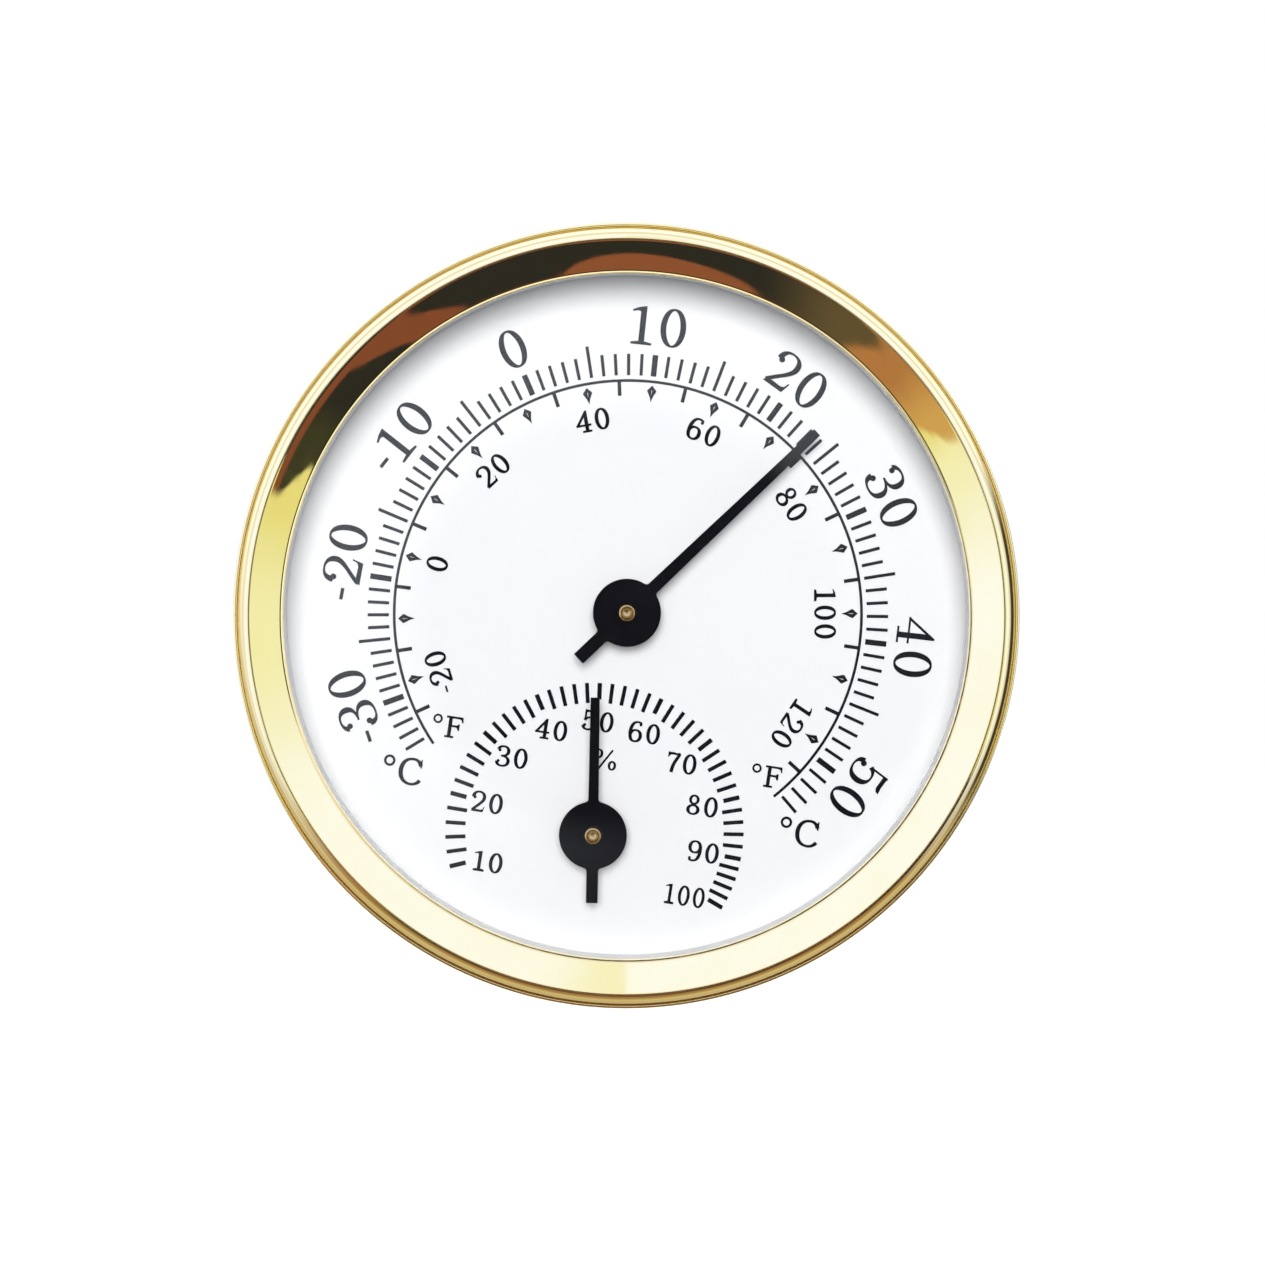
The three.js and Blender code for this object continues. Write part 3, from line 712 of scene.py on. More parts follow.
def bridge(movement, x, z, holes, steel):
    """A strip bent into a hat, with round bends."""
    node = f"{movement}_bridge"
    back, top = extent(node)[2:]
    foot, strip_half, bend = 4.0, 2.5, 0.25
    half = width(node) / 2 - foot
    inside = half - SHEET
    right = [(half, back), (half, top - SHEET), (half + foot, top - SHEET), (half + foot, top),
             (inside, top), (inside, back + SHEET)]
    left = [(-u, v) for u, v in reversed(right)]
    shape = [(x + u, v) for u, v in rounded(left[2:] + right + left[:2], bend, 4)]
    piece = sheet(f"{node}_strip", shape, [], z - strip_half, z + strip_half, 0.06, sideways)
    rounds = [circle(x + u, z, radius, 40) for u, radius in holes]
    for side in (-1, 1):
        rounds.append(circle(x + side * (half + foot / 2), z, SCREW_HOLE_RADIUS, 32))
    return install(cut(piece, rounds, back - 1, top + 1), node, steel)


def screw(node, steel):
    """A slotted pan-head screw, seen from behind."""
    x, z, back, tip = extent(node)
    head, shank, seat = 1.3, 0.7, PLATE_BACK - SHEET
    crown_radius, crown_inwards, crown_height = 0.4, 0.45, 0.35
    crown = arc(head - crown_inwards, back + crown_height, crown_radius, -90, -10, 6)
    body = rounded([(head, seat), (shank, seat), (shank, tip), (0, tip)], 0.08, 3, False)
    piece = turned(f"{node}_steel", [(0, back), *crown, *body], x, z, 64)
    return install(slotted(piece, x, z, back, 0.18, 0.4), node, steel)


# ---- turned parts

def stepped(bore, *barrels):
    """The outline of a turned part round its bore. A barrel is its radius, back and front."""
    steps = [(radius, height) for radius, back, top in barrels for height in (back, top)]
    return [(bore, barrels[0][1]), *steps, (bore, barrels[-1][2])]


def front_bush(movement, x, z, brass):
    node = f"{movement}_front_bush"
    back, top = extent(node)[2:]
    flange, barrel = 2.4, 1.5
    outline = stepped(RUNNING_BORE, (flange, back, PLATE_BACK), (barrel, PLATE_BACK, top))
    return install(turned(f"{node}_brass", rounded(outline, 0.1, 3), x, z), node, brass)


def rear_bush(brass):
    node = "temp_rear_bush"
    x, z, back, top = extent(node)
    flange, barrel, proud = 2.0, 1.2, 0.2
    seat = back + proud + SHEET
    outline = stepped(RUNNING_BORE, (barrel, back, seat), (flange, seat, top))
    return install(turned(f"{node}_brass", rounded(outline, 0.08, 3), x, z), node, brass)


def spindle(movement, x, z, brass):
    """Its front end is dished by the punch that spread it in the boss."""
    node = f"{movement}_spindle"
    back, tip = extent(node)[2:]
    chamfer, brim = 0.15, 0.07
    dish, dish_above = 0.56, 0.36
    pit, pit_edge, pit_depth = 0.088, 0.34, 0.38
    profile = [(0, back), (SPINDLE_RADIUS - chamfer, back), (SPINDLE_RADIUS, back + chamfer),
               *arc(SPINDLE_RADIUS - brim, tip - brim, brim, 0, 110, 8),
               *arc(0, tip + dish_above, dish, -45, -78, 8),
               (pit, tip - pit_edge), (0, tip - pit_depth)]
    return install(turned(f"{node}_rod", profile, x, z, 48), node, brass)


def pointer_boss(movement, x, z, brass):
    """A collar behind the pointer and a neck through it, with a round crown."""
    node = f"{movement}_pointer_boss"
    back, tip = extent(node)[2:]
    seat = extent(f"{movement}_pointer")[2] - SEAM_GAP
    collar, neck, crown, mouth = 1.3, 0.77, 0.18, 0.1
    body = [(PRESSED_BORE, tip - mouth), (PRESSED_BORE, back), (collar, back), (collar, seat),
            (neck, seat), (neck, tip - crown)]
    profile = [*rounded(body, 0.08, 3, False), *arc(neck - crown, tip - crown, crown, 10, 90, 9)]
    return install(turned(f"{node}_brass", profile, x, z, 64), node, brass)


def collet(movement, x, z, brass):
    node = f"{movement}_collet"
    radius = 1.55
    outline = stepped(PRESSED_BORE, (radius, *extent(node)[2:]))
    return install(turned(f"{node}_brass", rounded(outline, 0.12, 3), x, z, 64), node, brass)


def coil_post(movement, seat, brass):
    """A pin with a slot across its front end, which holds the coil's outer end."""
    node = f"{movement}_coil_post"
    x, z, back, top = extent(node)
    spigot, post, half_slot = 0.5, 0.8, 0.3
    outline = stepped(0, (spigot, back, seat), (post, seat, top))
    piece = turned(f"{node}_brass", rounded(outline, 0.08, 3, False), x, z, 56)
    slot = bar(x - half_slot, z - 2, x + half_slot, z + 2)
    return install(cut(piece, [slot], COIL_BACK - 0.05, top + 1), node, brass)


def adjuster(brass):
    """A slotted head behind the bridge, and a hollow barrel that carries the spindle's rear end."""
    node = "hum_adjuster"
    x, z, back, top = extent(node)
    head, barrel, socket_floor = 1.8, 1.2, 2.0
    seat = back + 0.7
    outline = stepped(0, (head, back, seat), (barrel, seat, top))[:-1]
    outline += [(RUNNING_BORE, top), (RUNNING_BORE, socket_floor), (0, socket_floor)]
    piece = turned(f"{node}_brass", rounded(outline, 0.1, 3, False), x, z, 72)
    return install(slotted(piece, x, z, back, 0.35, 0.5), node, brass)


def friction_washer(steel):
    node = "hum_friction_washer"
    x, z, back, top = extent(node)
    rim, hole = circle(x, z, width(node) / 2, 64), circle(x, z, BARREL_HOLE_RADIUS, 48)
    return install(sheet(f"{node}_steel", rim, [hole], back, top, 0.03), node, steel)


def adjuster_arm(steel):
    node = "hum_adjuster_arm"
    back, top = extent(node)[2:]
    eye, end = 2.4, 1.2
    post_x = extent("hum_coil_post")[0]
    outline = arc(HUM_X, HUM_Z, eye, 30, 330, 48) + arc(post_x, HUM_Z, end, -90, 90, 20)
    holes = [circle(HUM_X, HUM_Z, BARREL_HOLE_RADIUS, 48), circle(post_x, HUM_Z, POST_HOLE_RADIUS, 28)]
    return install(sheet(f"{node}_steel", outline, holes, back, top, 0.05), node, steel)


# ---- coils

COIL_BACK, COIL_FRONT = extent("temp_coil")[2:]
COIL_THICKNESS = 0.3
COIL_INNER_RADIUS = 1.74
COIL_TURN_STEPS = 64


def coil(movement, x, z, turns, metal):
    """A spiral strip. Its outer end stays in its post and its inner end lies at the spindle."""
    node = f"{movement}_coil"
    outer_radius = extent(f"{movement}_coil_post")[0] - x
    steps = turns * COIL_TURN_STEPS
    half, chamfer = COIL_THICKNESS / 2, 0.05
    section = rounded(bar(-half, COIL_BACK, half, COIL_FRONT), chamfer, 1)
    points, shares = [], []
    for i in range(steps + 1):
        share = i / steps
        angle = 2 * math.pi * (i - steps) / COIL_TURN_STEPS
        for offset, height in section:
            radius = COIL_INNER_RADIUS + (outer_radius - COIL_INNER_RADIUS) * share + offset
            points.append((x + radius * math.cos(angle), -height, z + radius * math.sin(angle)))
            shares.append(share)
    size = len(section)
    faces = [list(range(size)), list(range(steps * size, (steps + 1) * size))]
    for i in range(steps):
        for k in range(size):
            a, b = i * size + k, i * size + (k + 1) % size
            faces.append([a, b, b + size, a + size])
    piece = build(f"{node}_strip", points, faces)
    piece.data.materials.append(metal)
    wind(piece)
    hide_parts(node)


def wind(piece):
    """Bakes the piece's placement into its points. Nothing is turned."""
    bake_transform(piece)


# ---- pointers

def pointer(movement, x, z, rest, blade, paint):
    """blade is its half widths at the hub, at the tip and in the tail, and its reach ahead and behind."""
    node = f"{movement}_pointer"
    back, top = extent(node)[2:]
    root, tip, tail_half, length, tail = blade
    boss_hole = 0.87
    fillets = []
    for half, direction in ((root, 1), (tail_half, -1)):
        across = half + POINTER_FILLET
        along = math.sqrt((HUB_RADIUS + POINTER_FILLET) ** 2 - across ** 2)
        fillets.append((across, direction * along, math.degrees(math.atan2(along, across))))
    (up_x, up_y, up_turn), (down_x, down_y, down_turn) = fillets
    outline = [(tip, length)]
    outline += arc(up_x, up_y, POINTER_FILLET, 180, 180 + up_turn, 5)
    outline += arc(0, 0, HUB_RADIUS, up_turn, -down_turn, 40)[1:-1]
    outline += arc(down_x, down_y, POINTER_FILLET, 180 - down_turn, 180, 5)
    outline += [(tail_half, -tail)]
    outline += [(-u, v) for u, v in reversed(outline)]
    shape = moved(outline, x, z, rest)
    piece = sheet(f"{node}_blade", shape, [circle(x, z, boss_hole, 48)], back, top)
    return install(piece, node, paint)


# ---- numerals

def ribbon(points, thick, thin, closed=False):
    """Four-sided pieces along a line, thick where it runs up the page and thin where it runs across."""
    sides = []
    count = len(points)
    for i, (x, y) in enumerate(points):
        before = points[i - 1] if closed or i else points[0]
        after = points[(i + 1) % count] if closed or i < count - 1 else points[-1]
        dx, dy = after[0] - before[0], after[1] - before[1]
        length = math.hypot(dx, dy)
        dx, dy = dx / length, dy / length
        half = (thin + (thick - thin) * dy * dy) / 2
        sides.append(((x - dy * half, y + dx * half), (x + dy * half, y - dx * half)))
    following = sides[1:] + sides[:1] if closed else sides[1:]
    return [[a, c, d, b] for (a, b), (c, d) in zip(sides, following)]


def ring(x, y, rx, ry, thick, thin):
    return ribbon(oval(x, y, rx, ry), thick, thin, True)


def glyph_0(thick, thin):
    return ring(0.33, 0.5, 0.33 - thick / 2, 0.5 - thin / 2, thick, thin)


def glyph_1(thick, thin):
    left, right = 0.30 - thick / 2, 0.30 + thick / 2
    flag = [(0.0, 0.875), (0.03, 0.835), (0.16, 0.87), (left, 0.84), (right, 0.90), (right, 1.0),
            (0.17, 0.955)]
    foot = [(0.03, 0), (0.57, 0), (0.57, thin), (right + 0.04, thin + 0.03), (left - 0.04, thin + 0.03),
            (0.03, thin)]
    return [flag, bar(left, 0.02, right, 0.95), foot]


def glyph_2(thick, thin):
    sweep = bezier((0.045, 0.70), (0.05, 0.89), (0.16, 0.975), (0.31, 0.975), (0.47, 0.975),
                   (0.575, 0.87), (0.575, 0.72), (0.575, 0.50), (0.29, 0.34), (0.05, 0.05))
    base = [(0.0, 0.0), (0.58, 0.0), (0.65, 0.28), (0.61, 0.285), (0.57, 0.16), (0.48, 0.115),
            (0.22, 0.125), (0.06, 0.08)]
    return ribbon(sweep, thick, thin) + [circle(0.115, 0.70, 0.078, 18), base]


def glyph_3(thick, thin):
    upper = bezier((0.05, 0.80), (0.07, 0.92), (0.17, 0.975), (0.30, 0.975), (0.46, 0.975),
                   (0.54, 0.87), (0.54, 0.745), (0.54, 0.60), (0.42, 0.51), (0.20, 0.51))
    lower = bezier((0.20, 0.51), (0.46, 0.51), (0.58, 0.41), (0.58, 0.265), (0.58, 0.11),
                   (0.45, 0.025), (0.28, 0.025), (0.13, 0.025), (0.035, 0.09), (0.035, 0.24))
    balls = [circle(0.115, 0.775, 0.074, 18), circle(0.10, 0.25, 0.076, 18)]
    return ribbon(upper, thick, thin) + ribbon(lower, thick, thin) + balls


def glyph_4(thick, thin):
    left, right = 0.48 - thick / 2, 0.48 + thick / 2
    slant = ribbon([(0.53, 0.97), (0.04, 0.30)], thin * 1.2, thin * 1.2)
    stem = [(left, 0.02), (right, 0.02), (right, 0.98), (right - 0.04, 1.0), (left, 0.86)]
    return slant + [stem, bar(0.0, 0.28, 0.69, 0.28 + thin), bar(0.26, 0, 0.69, thin)]


def glyph_5(thick, thin):
    top = [(0.05, 1.0), (0.14, 0.975), (0.36, 0.98), (0.53, 1.01), (0.50, 0.92), (0.42, 0.865),
           (0.13, 0.86), (0.05, 0.86)]
    bowl = bezier((0.065, 0.455), (0.12, 0.57), (0.21, 0.615), (0.31, 0.615), (0.46, 0.615),
                  (0.545, 0.49), (0.545, 0.33), (0.545, 0.13), (0.42, 0.025), (0.25, 0.025),
                  (0.12, 0.025), (0.035, 0.09), (0.035, 0.22))
    stem = bar(0.045, 0.45, 0.045 + thin, 0.98)
    return [top, stem] + ribbon(bowl, thick, thin) + [circle(0.10, 0.235, 0.078, 18)]


def glyph_6(thick, thin):
    back = bezier((0.56, 0.90), (0.51, 0.955), (0.45, 0.975), (0.38, 0.975), (0.17, 0.975),
                  (0.07, 0.75), (0.07, 0.44), (0.07, 0.17), (0.16, 0.03), (0.325, 0.03),
                  (0.49, 0.03), (0.58, 0.15), (0.58, 0.30), (0.58, 0.47), (0.48, 0.575),
                  (0.34, 0.575), (0.21, 0.575), (0.12, 0.50), (0.09, 0.38))
    return ribbon(back, thick, thin) + [circle(0.535, 0.855, 0.072, 18)]


def glyph_7(thick, thin):
    top = [(0.03, 1.0), (0.075, 1.0), (0.12, 0.965), (0.30, 0.985), (0.44, 0.95), (0.61, 1.0), (0.60, 0.90),
           (0.46, 0.845), (0.28, 0.86), (0.15, 0.85), (0.08, 0.72), (0.03, 0.72)]
    stem = bezier((0.585, 0.94), (0.52, 0.70), (0.29, 0.48), (0.28, 0.0))
    return [top] + ribbon(stem, thick, thin)


def glyph_8(thick, thin):
    upper = ring(0.33, 0.75, 0.27 - thick / 2, 0.25 - thin / 2, thick * 0.85, thin)
    lower = ring(0.33, 0.265, 0.33 - thick / 2, 0.265 - thin / 2, thick, thin)
    return upper + lower


def glyph_9(thick, thin):
    return [[(0.66 - x, 1 - y) for x, y in outline] for outline in glyph_6(thick, thin)]


def glyph_percent(thick, thin):
    slash = ribbon([(0.26, 0.0), (0.84, 1.0)], thin, thin)
    return ring(0.2, 0.75, 0.14, 0.19, 0.13, 0.09) + ring(0.9, 0.25, 0.14, 0.19, 0.13, 0.09) + slash


def glyph_degree(thick, thin):
    return ring(0.2, 0.80, 0.17, 0.17, 0.095, 0.095)


def glyph_c(thick, thin):
    bow = bezier((0.80, 0.74), (0.76, 0.90), (0.64, 0.975), (0.49, 0.975), (0.22, 0.975),
                 (0.075, 0.77), (0.075, 0.50), (0.075, 0.21), (0.25, 0.025), (0.50, 0.025),
                 (0.65, 0.025), (0.76, 0.10), (0.83, 0.21))
    barb = [(0.79, 0.66), (0.845, 0.66), (0.845, 0.99), (0.80, 0.99), (0.77, 0.90), (0.75, 0.84)]
    return ribbon(bow, thick, thin) + [barb]


def glyph_f(thick, thin):
    left, right = 0.20 - thick / 2, 0.20 + thick / 2
    arm = [(0.0, 1 - thin), (0.0, 1.0), (0.76, 1.0), (0.79, 0.74), (0.73, 0.74), (0.68, 0.88),
           (0.55, 1 - thin)]
    tongue = [(0.2, 0.50), (0.50, 0.50), (0.58, 0.37), (0.64, 0.37), (0.64, 0.67), (0.58, 0.67),
              (0.50, 0.50 + thin), (0.2, 0.50 + thin)]
    return [bar(left, 0.02, right, 0.98), arm, tongue, bar(0.0, 0, 0.42, thin)]


def glyph_hyphen(thick, thin):
    return [bar(0.0, 0.36, 0.30, 0.45)]


GLYPHS = {
    "0": (glyph_0, 0.66), "1": (glyph_1, 0.57), "2": (glyph_2, 0.65), "3": (glyph_3, 0.65),
    "4": (glyph_4, 0.69), "5": (glyph_5, 0.62), "6": (glyph_6, 0.66), "7": (glyph_7, 0.60),
    "8": (glyph_8, 0.66), "9": (glyph_9, 0.66), "%": (glyph_percent, 1.1), "-": (glyph_hyphen, 0.30),
    "o": (glyph_degree, 0.4), "C": (glyph_c, 0.85), "F": (glyph_f, 0.79),
}
LETTER_GAP = 0.19
HYPHEN_GAP = 0.13


def text(words, x, z, height, clock, thick, thin, squeeze=1.0):
    """Marks for a short text, centred on x, z, turned to a clock angle and squeezed across."""
    total = sum(GLYPHS[letter][1] for letter in words) + LETTER_GAP * (len(words) - 1)
    marks = []
    start = -total / 2
    for letter in words:
        draw, wide = GLYPHS[letter]
        outlines = [[(squeeze * (u + start), v - 0.5) for u, v in outline] for outline in draw(thick, thin)]
        marks.append([moved(outline, x, z, clock, height) for outline in outlines])
        start += wide + (HYPHEN_GAP if letter == "-" else LETTER_GAP)
    return marks


# ---- printed scales

# The printing sits a little off the spindles' centres.
SCALE_X, SCALE_Z = TEMP_X + 0.12, TEMP_Z - 0.22
SMALL_X, SMALL_Z = HUM_X + 0.1, HUM_Z + 0.08
COLDEST, HOTTEST = -34, 54
# Clock degrees by which a numeral sits past its tick.
CELSIUS_PAST = {-30: 1.4, -20: 2.2, -10: 0.8}
HUMIDITY_PAST = {10: -2.5, 100: 4.6}
ARC_LINE = 21.86
# Inner radius, outer radius and width of each kind of tick.
CELSIUS_ONE, CELSIUS_FIVE, CELSIUS_TEN = (22.35, 24.35, 0.3), (22.35, 25.3, 0.3), (22.35, 24.35, 0.52)
FAHRENHEIT_TICK = (20.45, ARC_LINE, 0.34)
HUMIDITY_TWO, HUMIDITY_TEN = (12.11, 14.0, 0.36), (12.43, 13.98, 0.42)
# Radius and height of each scale's numerals, and how thick and thin their strokes are.
CELSIUS_TEXT, FAHRENHEIT_TEXT, HUMIDITY_TEXT = (27.0, 3.63), (18.45, 2.06), (10.4, 1.94)
BOLD, FINE, LETTERS = (0.15, 0.055), (0.17, 0.1), (0.165, 0.1)
HUMIDITY_CLOCKS = (-112.2, -83.5, -56.5, -31.5, -6.6, 18.1, 43.1, 67.9, 92.0, 112.2)


def celsius_clock(degrees):
    """The thermometer scale opens out slightly towards its hot end."""
    above = degrees - 10
    return -2.6 + 2.965 * above + 0.0016 * above * above


def fahrenheit_clock(degrees):
    return celsius_clock((degrees - 32) / 1.8)


def at(x, z, clock, radius):
    angle = math.radians(clock)
    return x + radius * math.sin(angle), z + radius * math.cos(angle)


def tick(x, z, clock, inner, outer, wide):
    return [moved(bar(-wide / 2, inner, wide / 2, outer), x, z, clock)]


def celsius_ticks():
    marks = []
    for degrees in range(COLDEST, HOTTEST + 1):
        kind = CELSIUS_ONE
        if degrees % 10 == 0:
            kind = CELSIUS_TEN
        elif degrees % 5 == 0:
            kind = CELSIUS_FIVE
        marks.append(tick(SCALE_X, SCALE_Z, celsius_clock(degrees), *kind))
    return marks


def arc_line():
    """The line between the scales. It runs on a little beyond the end ticks."""
    half, beyond_cold, beyond_hot = 0.13, 2.3, 1.6
    first = 90 - celsius_clock(COLDEST) + beyond_cold
    last = 90 - celsius_clock(HOTTEST) - beyond_hot
    outline = arc(SCALE_X, SCALE_Z, ARC_LINE + half, first, last, 160)
    outline += arc(SCALE_X, SCALE_Z, ARC_LINE - half, last, first, 160)
    return [[outline]]


def kite():
    """A small kite with a pinhole centre that points to the spindle, drawn above it on the vertical."""
    rim = [(0.0, 21.3), (0.24, 21.0), (0.0, 20.35), (-0.24, 21.0)]
    return ribbon(rim, 0.42, 0.42, True) + [[(-0.2, 20.6), (0.0, 19.93), (0.2, 20.6)]]


def fahrenheit_marks():
    marks = []
    for degrees in range(-25, 130, 10):
        clock = fahrenheit_clock(degrees)
        marks.append(tick(SCALE_X, SCALE_Z, clock, *FAHRENHEIT_TICK))
    for degrees in range(-20, 125, 10):
        clock = fahrenheit_clock(degrees)
        marks.append([moved(outline, SCALE_X, SCALE_Z, clock) for outline in kite()])
    return marks


def scale_numerals(numbers, clock_of, past, radius_and_height, strokes):
    """Numerals that stand on their radius, centred on their ticks or a little past them."""
    radius, height = radius_and_height
    marks = []
    for number in numbers:
        clock = clock_of(number) + past.get(number, 0.0)
        x, z = at(SCALE_X, SCALE_Z, clock, radius)
        marks += text(str(number), x, z, height, clock, *strokes)
    return marks


def unit_marks():
    marks = []
    for x, z, letter, height in ((-18.7, -17.6, "C", 2.5), (18.95, -17.75, "C", 2.5),
                                 (-15.1, -12.9, "F", 2.05), (15.15, -13.0, "F", 2.05)):
        marks += text("o" + letter, SCALE_X + x, SCALE_Z + z, height, 0, *LETTERS)
    return marks


def humidity_marks():
    """A tick for every 2 percent, with a heavier one at each ten."""
    marks = []
    for low, high in zip(HUMIDITY_CLOCKS, HUMIDITY_CLOCKS[1:]):
        for step in range(1, 5):
            marks.append(tick(SMALL_X, SMALL_Z, low + (high - low) * step / 5, *HUMIDITY_TWO))
    for clock in HUMIDITY_CLOCKS:
        marks.append(tick(SMALL_X, SMALL_Z, clock, *HUMIDITY_TEN))
    return marks


def humidity_numerals():
    """Upright numerals, with the widest one squeezed, and the percent sign."""
    radius, height = HUMIDITY_TEXT
    percent_rise, percent_height, widest, squeezed = 6.86, 1.95, 100, 0.86
    marks = []
    for number, clock in enumerate(HUMIDITY_CLOCKS):
        percent = 10 * (number + 1)
        x, z = at(SMALL_X, SMALL_Z, clock + HUMIDITY_PAST.get(percent, 0.0), radius)
        squeeze = squeezed if percent == widest else 1.0
        marks += text(str(percent), x, z, height, 0, *FINE, squeeze)
    marks += text("%", SMALL_X, SMALL_Z + percent_rise, percent_height, 0, *FINE)
    return marks


def dial_printing(material):
    scales = {
        "print_celsius_ticks": celsius_ticks(),
        "print_arc_line": arc_line(),
        "print_celsius_numerals": scale_numerals(range(-30, 60, 10), celsius_clock, CELSIUS_PAST,
                                                 CELSIUS_TEXT, BOLD),
        "print_fahrenheit_marks": fahrenheit_marks(),
        "print_fahrenheit_numerals": scale_numerals(range(-20, 140, 20), fahrenheit_clock, {},
                                                    FAHRENHEIT_TEXT, FINE),
        "print_units": unit_marks(),
        "print_humidity_ticks": humidity_marks(),
        "print_humidity_numerals": humidity_numerals(),
    }
    for name, marks in scales.items():
        piece = printed(name, marks)
        piece.data.materials.append(material)
        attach(piece, BODY_OF["dial_plate"])


# ---- surroundings

CAMERA_DISTANCE = 180.0
TARGET_HEIGHT = 12.1
FRAME_WIDTH = 116.16
ROLL_DEG = 8.7
RISE_DEG = 1.5
AIM_SHIFT = (0.0049, -0.0119)


def camera():
    """A near, almost head-on view, rolled so that the dial leans clockwise."""
    data = bpy.data.cameras.new("camera")
    data.sensor_width = 36.0
    data.lens = data.sensor_width * CAMERA_DISTANCE / FRAME_WIDTH
    data.shift_x, data.shift_y = AIM_SHIFT
    data.clip_start = 0.01
    roll, rise = math.radians(ROLL_DEG), math.radians(RISE_DEG)
    up = Vector((-math.sin(roll), 0, math.cos(roll)))
    back = (Vector((0, -1, 0)) * math.cos(rise) + up * math.sin(rise)).normalized()
    right = up.cross(back).normalized()
    upright = back.cross(right)
    target = Vector(front(0, 0, TARGET_HEIGHT)) * MM
    turn = Matrix((right, upright, back)).transposed().to_4x4()
    viewer = bpy.data.objects.new("camera", data)
    viewer.matrix_world = Matrix.Translation(target + back * CAMERA_DISTANCE * MM) @ turn
    bpy.context.scene.collection.objects.link(viewer)
    bpy.context.scene.camera = viewer


PALE = (0.99, 1.17, 1.90)
CREAM = (0.94, 1.07, 1.25)
YELLOW = (0.90, 1.02, 0.98)
AMBER = (0.80, 0.84, 0.46)
DARK = (0.026, 0.028, 0.035)
MOSS = (0.045, 0.052, 0.038)
UMBER = (0.22, 0.080, 0.056)
OAK = (0.43, 0.22, 0.115)
TAN = (0.32, 0.22, 0.12)
OLIVE = (0.10, 0.09, 0.06)
BLACK = (0.012, 0.012, 0.014)
BARK = (0.115, 0.095, 0.068)
HONEY = (0.62, 0.42, 0.19)
RUST = (0.26, 0.10, 0.07)
STRAW = (0.70, 0.64, 0.42)
WALL = (0.85, 0.92, 1.05)
GLARE, EDGE_LIGHT = (1.15, 1.2, 1.28), (0.9, 0.95, 1.2)
LOW_BEHIND, RIGHT_BEHIND, STRAIGHT_BEHIND = (0.55, 0.49, 0.34), (0.05, 0.045, 0.03), (0.66, 0.64, 0.62)
SKY, SKY_BEHIND = (1.5, 1.6, 2.0), (1.15, 1.15, 1.2)
SOFT_AHEAD, SOFT_BEHIND = (0.30, 0.31, 0.33), (0.80, 0.80, 0.80)


def room():
    """What the polished metal and the lens mirror, and a softer light for everything matte."""
    world = bpy.data.worlds.new("room")
    bpy.context.scene.world = world
    g = Graph(world)
    direction = g.add("ShaderNodeTexCoord").outputs["Generated"]
    roll = g.add("ShaderNodeVectorRotate", {"rotation_type": "Y_AXIS"}, Vector=direction,
                 Angle=math.radians(ROLL_DEG)).outputs[0]
    across, depth, up = g.add("ShaderNodeSeparateXYZ", Vector=roll).outputs
    # How far round the bezel the face that mirrors this direction lies, in degrees from its top.
    turn = g.math("DEGREES", g.math("ARCTAN2", g.times(across, -1.0), g.times(up, -1.0)))
    # How far the direction lies from straight ahead of the dial, in degrees.
    off = g.math("DEGREES", g.math("ARCCOSINE", g.times(depth, -1.0)))
    wobble = g.add("ShaderNodeTexNoise", Vector=roll, Scale=3.0, Detail=3.0).outputs["Fac"]
    angle = g.plus(turn, g.times(g.minus(wobble, 0.5), 7.0))
    colour = g.mix(g.smooth(off, 58.0, 64.0), slopes(g, angle, off), sides(g, turn, off))
    colour = g.mix(g.smooth(off, 23.0, 28.0), ahead(g, across, up, off), colour)
    colour = g.mix(g.smooth(depth, 0.1, 0.45), colour, behind(g, turn, up, off))
    soft = g.mix(g.smooth(depth, -0.3, 0.3), SOFT_AHEAD, SOFT_BEHIND)
    ray = g.add("ShaderNodeLightPath").outputs
    mirrored = g.math("MAXIMUM", ray["Is Glossy Ray"], ray["Is Transmission Ray"])
    seen = g.mix(ray["Is Camera Ray"], g.mix(mirrored, soft, colour), (1.0, 1.0, 1.0))
    background = g.add("ShaderNodeBackground", Color=seen)
    g.add("ShaderNodeOutputWorld", Surface=background.outputs[0])


def ahead(g, across, up, off):
    """Dark near the camera. Further out, above and to the left, is a bright ring that the lens mirrors."""
    lifted = g.plus(up, math.sin(math.radians(RISE_DEG)))
    out = g.math("SQRT", g.plus(g.times(across, across), g.times(lifted, lifted)))
    tilt = g.minus(g.times(up, 0.8), g.times(across, 0.6))
    ring_share = g.times(g.smooth(out, 0.098, 0.122), g.smooth(tilt, -0.18, 0.10))
    near = g.mix(g.math("MAXIMUM", ring_share, g.smooth(out, 0.177, 0.184)), BLACK, GLARE)
    lean = g.minus(g.times(up, 0.95), g.times(across, 0.3))
    edge = g.mix(g.smooth(lean, -0.06, 0.0), BLACK, EDGE_LIGHT)
    return g.mix(g.smooth(off, 12.5, 15.0), near, edge)


